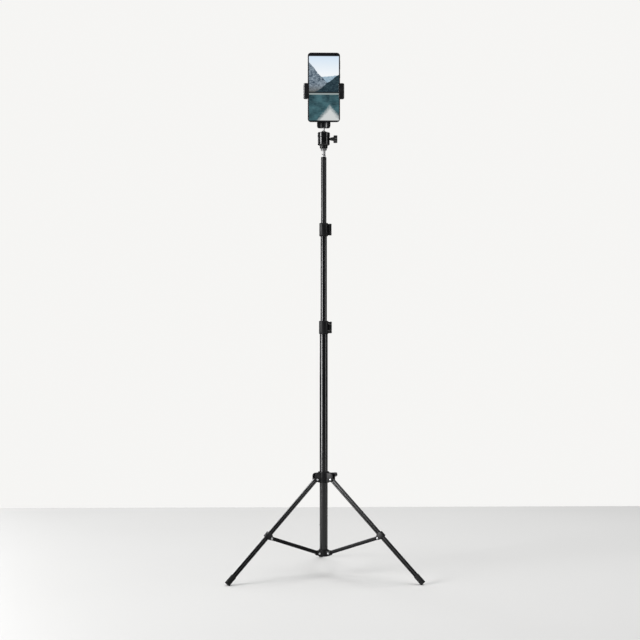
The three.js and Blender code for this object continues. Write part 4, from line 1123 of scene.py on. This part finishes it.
def jaw_shape():
    """The right jaw, seen from above as a plan and cut to a rounded outline."""
    out, crown, half = high("moving_jaw").x - mast.x, 2.2, JAW_HALF
    front = phone_y - PHONE_HALF - FIT - LIP
    lip_end, root = PHONE_W / 2 - 3.2, PHONE_W / 2 + FIT
    plan = [(lip_end, front, 0.6), (out - crown, front, 2.2), (out, (front + BAR_BACK) / 2, 8)]
    plan += [(out - crown, BAR_BACK, 2.0), (root, BAR_BACK, 0.3), (root, BAR_FRONT, 0.2)]
    plan += [(JAW_WALL, BAR_FRONT, 0.3), (JAW_WALL, front + LIP, 0.3), (lip_end, front + LIP, 0.3)]
    flat = moved(plate([(x, -y, *corner) for x, y, *corner in plan], -half, half), ALONG["-Y"])
    outline = [(-out, -half, 5), (out, -half, 5), (out, half, 5), (-out, half, 5)]
    return common(flat, softened(plate(outline, -40, 40), 0.3))


def along_bar(shape, z):
    """Carries a shape that stands along Z into the bar, at a height over its middle."""
    return moved(shape, ALONG["X"], (0, bar_y, z))


def bar_shape():
    end, half = PHONE_W / 2, BAR_HALF
    body = [(-end - 2, -half, 3), (end, -half, 3), (end, half, 3), (-end - 2, half, 3)]
    body = softened(plate(body, BAR_FRONT, BAR_BACK), 0.5, 3, 60)
    shape = joined(body, moved(jaw_shape(), MIRROR))
    rods = [along_bar(bar(ROD_R + FIT, -32, end + 1), z) for z in (-ROD_RISE, ROD_RISE)]
    spring = along_bar(bar(1.9, -end + 3, end + 1), SPRING_RISE)
    pivot_bore = moved(bar(PIVOT_HOLE, BAR_FRONT + 0.7, BAR_BACK + 1), ALONG["Y"])
    ribs = [box((x, x + 12), (BAR_BACK - 0.8, BAR_BACK + 1), (-3.5, 3), 0.3) for x in (-30, 14)]
    return cut(shape, *rods, spring, pivot_bore, *ribs)


def moving_jaw_shape():
    start, end = PHONE_W / 2 - 1, ROD_END + 0.2
    rods = [along_bar(bar(ROD_R + SNUG, start, end), z) for z in (-ROD_RISE, ROD_RISE)]
    return cut(jaw_shape(), *rods)


clamp_at = (mast.x, mast.y, clamp_z)
clamp_bar = moved(bar_shape(), clamp_at)
piece("clamp_bar_moulded", clamp_bar, clamp_plastic, "clamp", ["clamp_bar"])
moving_jaw = moved(moving_jaw_shape(), clamp_at)
piece("moving_jaw_moulded", moving_jaw, clamp_plastic, "jaw", ["moving_jaw"])

# %% [markdown]
# ## Pads, rods, spring and pivot wheel
#
# Each jaw has a ribbed rubber pad. The rods are polished, the spring is a real coil, made by
# spinning a small ring while it moves along, and the clamp's pivot ends in a thumb wheel
# behind the arm.

# %% Pads, rods, spring and pivot wheel
def pad_shape():
    """The right pad, with V-grooves across its face."""
    face = PHONE_W / 2 + FIT
    block = box((face, face + 2.2), (phone_y - 3.7, phone_y + 3.7), (-16, 16), 0.35)
    grooves = []
    for z in range(-14, 15, 2):
        groove = moved(box((-0.5, 0.5), (-9, 9), (-0.5, 0.5)), Matrix.Rotation(math.pi / 4, 4, "Y"))
        grooves.append(moved(groove, (face - 0.25, phone_y, z)))
    return cut(block, *grooves)


def rod_shape(z):
    return along_bar(bar(ROD_R, -12, ROD_END, soft=0.4), z)


def spring_shape():
    """A coil of wire round X, closed at both ends."""
    turns, wire, radius, length = 26, 0.35, 1.2, PHONE_W - 8
    coil = bmesh.new()
    bmesh.ops.create_circle(coil, cap_ends=False, segments=8, radius=wire)
    bmesh.ops.rotate(coil, cent=(0, 0, 0), matrix=Matrix.Rotation(QUARTER, 3, "X"), verts=coil.verts)
    bmesh.ops.translate(coil, vec=(radius, 0, 0), verts=coil.verts)
    steps = turns * 16
    bmesh.ops.spin(
        coil, geom=coil.verts[:] + coil.edges[:], cent=(0, 0, 0), axis=(0, 0, 1), dvec=(0, 0, length / steps),
        angle=2 * math.pi * turns, steps=steps, use_merge=False, use_duplicate=False,
    )
    bmesh.ops.holes_fill(coil, edges=[e for e in coil.edges if e.is_boundary], sides=0)
    bmesh.ops.recalc_face_normals(coil, faces=coil.faces)
    return moved(coil, ALONG["X"], (-PHONE_W / 2 + 4, bar_y, SPRING_RISE))


def wheel_shape():
    wheel = lobed_head(8, 2.3, 8.3, 12, 0.45, 0.7)
    slot = box((-5, 5), (-0.8, 0.8), (7.3, 9))
    shaft = bar(3, BAR_FRONT + 1, 3)
    return moved(cut(joined(wheel, shaft), slot), ALONG["Y"])


piece("moving_pad_ribbed", moved(pad_shape(), clamp_at), pad_rubber, "jaw", ["moving_pad"])
piece("fixed_pad_ribbed", moved(pad_shape(), MIRROR, clamp_at), pad_rubber, "clamp", ["fixed_pad"])
for which, rise in (("upper", ROD_RISE), ("lower", -ROD_RISE)):
    rod = moved(rod_shape(rise), clamp_at)
    piece(f"guide_rod_{which}_polished", rod, rod_steel, "jaw", [f"guide_rod_{which}"])
coil = moved(spring_shape(), clamp_at)
piece("clamp_spring_coil", coil, rod_steel, "clamp", ["clamp_spring"])
wheel = moved(wheel_shape(), clamp_at)
piece("pivot_wheel", wheel, knob_plastic, "clamp", ["pivot_screw"])

# %% [markdown]
# ## Phone finishes
#
# The phone's frame is dark anodised metal, blasted to a silky grain. Its back is painted
# glass. The screen is lit, behind a clear front with a black border: its picture is drawn by
# the nodes from height and width alone, as a valley between two hills above a lake.

# %% Phone finishes
def anodised(name, color):
    finish = Finish(name, color, 0.32, 0.3, Specular_IOR_Level=0.2)
    grain = finish.noise(0.00035, 2)
    worn = finish.noise(0.006, 4, 0.6)
    finish.toned(finish.spread(worn, 0.4, 0.8), color, 1.8)
    finish.to("Roughness", finish.spread(worn, 0.3, 0.8, 0.27, 0.4))
    finish.bumped(grain, 0.000006)
    return finish.material


def painted_glass(name, color, roughness=0.08):
    finish = Finish(name, color, roughness, Specular_IOR_Level=0.5, Coat_Weight=1.0, Coat_Roughness=0.03)
    deep = finish.noise(0.05, 2)
    prints = finish.noise(0.012, 5, 0.6)
    finish.toned(finish.spread(deep, 0.3, 0.7), color, 1.5)
    finish.to("Roughness", finish.spread(prints, 0.45, 0.8, roughness, roughness + 0.14))
    return finish.material


frame_metal = anodised("phone_frame_metal", (0.008, 0.009, 0.011))
key_metal = anodised("phone_key_metal", (0.012, 0.013, 0.016))
back_glass = painted_glass("phone_back_glass", (0.008, 0.01, 0.014))
lens_glass = painted_glass("lens_glass", (0.003, 0.003, 0.006), 0.03)
lens_ring = plated("lens_ring_metal", (0.2, 0.2, 0.21), 0.2)
print("phone finishes made")

# %% Screen picture
phone_x = (phone_low.x + phone_high.x) / 2
BORDER_TOP, BORDER_SIDE, BORDER_BOTTOM = 8.6, 2.7, 3.2
picture_left = phone_x - PHONE_W / 2 + BORDER_SIDE
picture_right = phone_x + PHONE_W / 2 - BORDER_SIDE
picture_low = phone_low.z + BORDER_BOTTOM
picture_high = phone_high.z - BORDER_TOP


class Picture(Finish):
    """The lit screen: u runs from 0 to 1 across the picture and v from 0 to 1 up it."""

    def __init__(self, name):
        super().__init__(name, (0.004, 0.004, 0.005), 0.06, Specular_IOR_Level=0.45)
        parts = self.nodes.new("ShaderNodeSeparateXYZ")
        self.links.new(self.place, parts.inputs["Vector"])
        across, up = parts.outputs["X"], parts.outputs["Z"]
        self.u = self.unclamped(across, picture_left * MM, picture_right * MM)
        self.v = self.unclamped(up, picture_low * MM, picture_high * MM)

    def unclamped(self, value, start, end):
        node = self.spread(value, start, end)
        node.node.clamp = False
        return node

    def step(self, value, edge, soft=0.004):
        """1 where the value is over the edge; the edge is a number or a pattern."""
        return self.spread(self.maths("SUBTRACT", value, edge), -soft, soft)

    def both(self, first, second):
        return self.maths("MULTIPLY", first, second)

    def between(self, value, start, end):
        """1 where the value is over start and under end."""
        return self.both(self.step(value, start), self.maths("SUBTRACT", 1.0, self.step(value, end)))

    def line(self, start, slope, rough, size):
        """A hill's outline: a height at u = 0, a slope across the picture, and a broken edge."""
        straight = self.maths("ADD", self.maths("MULTIPLY", self.u, slope), start)
        ragged = self.spread(self.noise(size, 5, 0.6, (1, 1, 0.2)), 0, 1, -rough, rough)
        return self.maths("ADD", straight, ragged)


def valley_picture():
    art = Picture("screen_picture")
    shore = 0.415
    sky = art.blended(art.spread(art.v, 0.6, 1.0), (0.96, 0.96, 0.95), (0.66, 0.78, 0.9))
    rock = art.noise(0.004, 8, 0.7, (1, 1, 1.6))
    far = art.blended(art.spread(rock, 0.35, 0.65), (0.2, 0.32, 0.42), (0.42, 0.54, 0.62))
    crags = art.blended(art.spread(rock, 0.4, 0.6), (0.03, 0.055, 0.085), (0.3, 0.37, 0.43))
    moss = art.blended(art.spread(art.v, shore, 0.62), (0.07, 0.065, 0.045), (0.3, 0.34, 0.38))
    left = art.blended(art.spread(art.v, 0.44, 0.58), moss, crags)
    right = art.blended(art.spread(rock, 0.42, 0.62), (0.006, 0.02, 0.03), (0.035, 0.07, 0.085))
    scene = art.blended(art.step(art.line(0.66, 0.04, 0.02, 0.006), art.v), sky, far)
    scene = art.blended(art.step(art.line(0.9, -0.52, 0.05, 0.008), art.v), scene, left)
    scene = art.blended(art.step(art.line(0.36, 0.36, 0.04, 0.012), art.v), scene, right)
    ripples = art.noise(0.003, 3, 0.6, (0.35, 1, 3))
    depths = art.spread(art.noise(0.02, 3), 0.35, 0.65)
    deep = art.blended(depths, (0.008, 0.035, 0.045), (0.05, 0.13, 0.15))
    water = art.blended(art.spread(ripples, 0.45, 0.75, 0, 0.35), deep, (0.14, 0.25, 0.27))
    centre = art.maths("ABSOLUTE", art.maths("SUBTRACT", art.u, 0.7))
    peak = art.maths("SUBTRACT", art.maths("MULTIPLY", centre, -0.55), -0.23)
    peak = art.maths("ADD", peak, art.spread(art.noise(0.004, 4, 0.6), 0, 1, -0.05, 0.05))
    mist = art.spread(art.maths("SUBTRACT", peak, art.v), -0.03, 0.07)
    water = art.blended(mist, water, (0.62, 0.64, 0.63))
    scene = art.blended(art.step(art.v, shore), water, scene)
    bank = art.between(art.v, shore - 0.014, shore + 0.01)
    scene = art.blended(bank, scene, (0.3, 0.35, 0.34))
    shade = art.between(art.v, shore + 0.012, shore + 0.03)
    scene = art.blended(shade, scene, (0.006, 0.01, 0.012))
    inside = art.both(art.between(art.u, 0.0, 1.0), art.between(art.v, 0.0, 1.0))
    art.to("Emission Color", scene)
    art.to("Emission Strength", art.spread(inside, 0, 1, 0, 1.0))
    return art.material


screen_picture = valley_picture()
print("picture is", round(picture_right - picture_left, 1), "by", round(picture_high - picture_low, 1), "mm")

# %% [markdown]
# ## Phone
#
# The frame is a rounded plate with a soft outer edge, hollowed from the front for the glass,
# from the back for the cover, and inside for the battery and the board. The charging
# socket, the speaker holes and the slots for the keys are cut through its walls.

# %% Phone
PHONE_CORNER = 7.5
PHONE_RIM = 1.2
PHONE_WALL = 3.0
POWER_KEY, VOLUME_KEY = (27, 10), (52, 20)  # rise over the phone's middle, length


def rounded_plate(half_w, half_h, r, start, end):
    outline = [(-half_w, -half_h, r), (half_w, -half_h, r), (half_w, half_h, r), (-half_w, half_h, r)]
    return plate(outline, start, end)


def phone_plate(inset, start, end):
    """A plate with the phone's outline, drawn in by the inset."""
    return rounded_plate(PHONE_W / 2 - inset, PHONE_H / 2 - inset, PHONE_CORNER - inset, start, end)


def key_slot(rise, length):
    half = length / 2 + FIT
    return box((PHONE_W / 2 - 6, PHONE_W), (-1 - FIT, 1 + FIT), (rise - half, rise + half), 0.3)


def frame_shape():
    shape = softened(phone_plate(0, -PHONE_HALF, PHONE_HALF), 1.0, 4, 60)
    front = phone_plate(PHONE_RIM, -5, -2.7)
    back = phone_plate(PHONE_RIM, 3.0, 5)
    inside = phone_plate(PHONE_WALL, -1.7, 5)
    holes = [box((-4.4, 4.4), (-1.4, 1.4), (-PHONE_H / 2 - 1, -PHONE_H / 2 + 2.6), 1.3, 4)]
    for x in [side * (11 + 2.4 * i) for side in (-1, 1) for i in range(5)]:
        holes.append(moved(bar(0.7, -PHONE_H / 2 - 1, -PHONE_H / 2 + 2, 12), (x, 0, 0)))
    holes.append(moved(bar(0.5, PHONE_H / 2 - 2, PHONE_H / 2 + 1, 12), (16, 0, 0)))
    return cut(shape, front, back, inside, key_slot(*POWER_KEY), key_slot(*VOLUME_KEY), *holes)


def screen_shape():
    shape = softened(phone_plate(PHONE_RIM + SNUG, -PHONE_HALF, -3), 0.25, 3, 60)
    earpiece = box((-6, 6), (-4.5, -3.6), (PHONE_H / 2 - 2.6, PHONE_H / 2 - 1.9), 0.3)
    return cut(shape, earpiece)


def key_shape(rise, length):
    """A side key with a flange behind the wall, so that it can't fall out."""
    out, half = PHONE_W / 2, length / 2
    stem = box((out - 3.8, out + 0.45), (-1, 1), (rise - half, rise + half), 0.3)
    flange = box((out - 4.2, out - 3.3), (-1.5, 1.5), (rise - half - 1, rise + half + 1))
    return joined(stem, flange)


phone_at = (phone_x, (phone_low.y + phone_high.y) / 2, (phone_low.z + phone_high.z) / 2)
phone_frame = moved(frame_shape(), phone_at)
piece("phone_frame_milled", phone_frame, frame_metal, "phone", ["phone_frame"])
glass = moved(screen_shape(), phone_at)
piece("phone_front_glass", glass, screen_picture, "phone", ["phone_screen"])
back = softened(phone_plate(PHONE_RIM + SNUG, 3.3, PHONE_HALF), 0.25, 3, 60)
piece("phone_back_cover", moved(back, phone_at), back_glass, "phone", ["phone_back"])
for which, place in (("power", POWER_KEY), ("volume", VOLUME_KEY)):
    key = moved(key_shape(*place), phone_at)
    piece(f"{which}_key_milled", key, key_metal, f"{which}_button", [f"{which}_key"])

# %% [markdown]
# The cameras on the phone's back stand on a small raised island: two lenses in turned rings
# and a flash between them. A front camera looks out of the top border.

# %% Cameras
ISLAND_W, ISLAND_H, ISLAND_CORNER = 26, 38, 7
ISLAND_INSET = 6
LENS_STEPS = 64
island_x = -PHONE_W / 2 + ISLAND_W / 2 + ISLAND_INSET
island_z = PHONE_H / 2 - ISLAND_H / 2 - ISLAND_INSET


def island_shape():
    shape = rounded_plate(ISLAND_W / 2, ISLAND_H / 2, ISLAND_CORNER, 4.3, 5.7)
    return moved(softened(shape, 0.4, 3, 60), (island_x, 0, island_z))


def on_island(shape, x, z):
    """Stands a turned shape on the island, x and z from the island's middle."""
    return moved(shape, ALONG["Y"], (island_x + x, 0, island_z + z), phone_at)


island = moved(island_shape(), phone_at)
piece("camera_island_raised", island, back_glass, "phone", ["camera_island"])
for index, rise in enumerate((9.5, -7)):
    ring = [(4.2, 5.5), (6, 5.5), (6, 6.5, 0.35), (4.6, 6.5, 0.2), (4.2, 6.0), (4.2, 5.5)]
    ring = on_island(turned(ring, LENS_STEPS), 0, rise)
    eye = [(0, 5.4), (4.2, 5.4), (4.2, 6.05, 0.15), (2.0, 6.15, 0.2), (1.7, 5.9, 0.1), (0, 5.9)]
    eye = on_island(turned(eye, LENS_STEPS), 0, rise)
    piece(f"lens_ring_{index}", ring, lens_ring, "phone")
    piece(f"lens_eye_{index}", eye, lens_glass, "phone")
flash_finish = painted_glass("flash_glass", (0.7, 0.66, 0.5), 0.2)
flash = turned([(0, 5.5), (1.9, 5.5), (1.9, 5.95, 0.2), (0, 5.95)], SMALL)
piece("camera_flash", on_island(flash, 8.6, 1.5), flash_finish, "phone")
eye = turned([(0, 3.5), (1.7, 3.5), (1.7, 4.0, 0.05), (0, 4.0)], SMALL)
eye = moved(eye, ALONG["-Y"], (27, 0, PHONE_H / 2 - 4.3))
piece("front_camera_eye", moved(eye, phone_at), lens_glass, "phone")

battery_finish = moulded("battery_wrap", (0.05, 0.055, 0.06), 0.5)
board_finish = moulded("board_mask", (0.02, 0.09, 0.045), 0.45)
dressed("phone_battery", battery_finish)
dressed("phone_board", board_finish)

# %% [markdown]
# ## Floor, backdrop and light
#
# The stand is in a pale studio. The floor is a smooth pale slab with a faint gloss, and
# behind it the light of the room is an even off-white. Two tall soft lights, one strong at
# the left and one weaker at the right, draw the long highlights down the tubes, and a broad
# one overhead lights the floor.

# %% Floor and backdrop
FLOOR_WIDTH, FLOOR_DEPTH = (-1600, 1600), (-1400, 1200)
FLOOR_TOP = -0.2  # just under the feet
floor_bm = box(FLOOR_WIDTH, FLOOR_DEPTH, (FLOOR_TOP - 39.8, FLOOR_TOP), 1.0)
floor_bm = moved(floor_bm, tuple(mast))
bmesh.ops.transform(floor_bm, matrix=Matrix.Scale(MM, 4), verts=floor_bm.verts)
floor_mesh = bpy.data.meshes.new("studio_floor")
floor_bm.to_mesh(floor_mesh)
floor_bm.free()
floor = bpy.data.objects.new("studio_floor", floor_mesh)
bpy.context.scene.collection.objects.link(floor)
floor_finish = Finish("studio_floor_paint", (0.72, 0.72, 0.71), 0.3, Specular_IOR_Level=0.4)
worn = floor_finish.noise(0.9, 2)
floor_finish.to("Base Color", floor_finish.blended(worn, (0.62, 0.615, 0.605), (0.65, 0.645, 0.635)))
floor_finish.to("Roughness", floor_finish.spread(worn, 0.2, 0.8, 0.5, 0.56))
floor_finish.bumped(floor_finish.noise(0.004, 2), 0.000004)
floor_mesh.materials.append(floor_finish.material)

world = bpy.data.worlds.new("studio")
bpy.context.scene.world = world
world.use_nodes = True
sky_nodes, sky_links = world.node_tree.nodes, world.node_tree.links
room, backdrop = sky_nodes["Background"], sky_nodes.new("ShaderNodeBackground")
room.inputs["Color"].default_value = (0.9, 0.95, 1.0, 1)
room.inputs["Strength"].default_value = 0.12
backdrop.inputs["Color"].default_value = (0.92, 0.915, 0.9, 1)
seen = sky_nodes.new("ShaderNodeLightPath")
chosen = sky_nodes.new("ShaderNodeMixShader")
sky_links.new(seen.outputs["Is Camera Ray"], chosen.inputs[0])
sky_links.new(room.outputs["Background"], chosen.inputs[1])
sky_links.new(backdrop.outputs["Background"], chosen.inputs[2])
sky_links.new(chosen.outputs["Shader"], sky_nodes["World Output"].inputs["Surface"])


# %% Lights
def soft_light(name, place, aim, size, power):
    """A lit rectangle; place, aim and size are in metres and the power is in watts."""
    lamp = bpy.data.lights.new(name, "AREA")
    lamp.shape, lamp.size, lamp.size_y = "RECTANGLE", *size
    lamp.energy = power
    made = bpy.data.objects.new(name, lamp)
    bpy.context.scene.collection.objects.link(made)
    made.location = place
    made.rotation_euler = (Vector(aim) - Vector(place)).to_track_quat("-Z", "Y").to_euler()
    made.visible_camera = False


soft_light("tall_light_left", (-3.18, -1.9, 0.9), (0, -0.06, 0.6), (1.2, 2.8), 230)
soft_light("tall_light_right", (3.18, -1.9, 0.9), (0, -0.06, 0.6), (0.8, 2.8), 38)
soft_light("overhead_light", (0.4, 0.5, 3.0), (0.2, 0.5, 0), (3.6, 3.2), 108)
soft_light("back_light", (-1.9, 2.9, 1.6), (0, -0.06, 0.5), (0.8, 2.0), 30)
scene = bpy.context.scene
scene.view_settings.view_transform = "Standard"
print("studio ready")
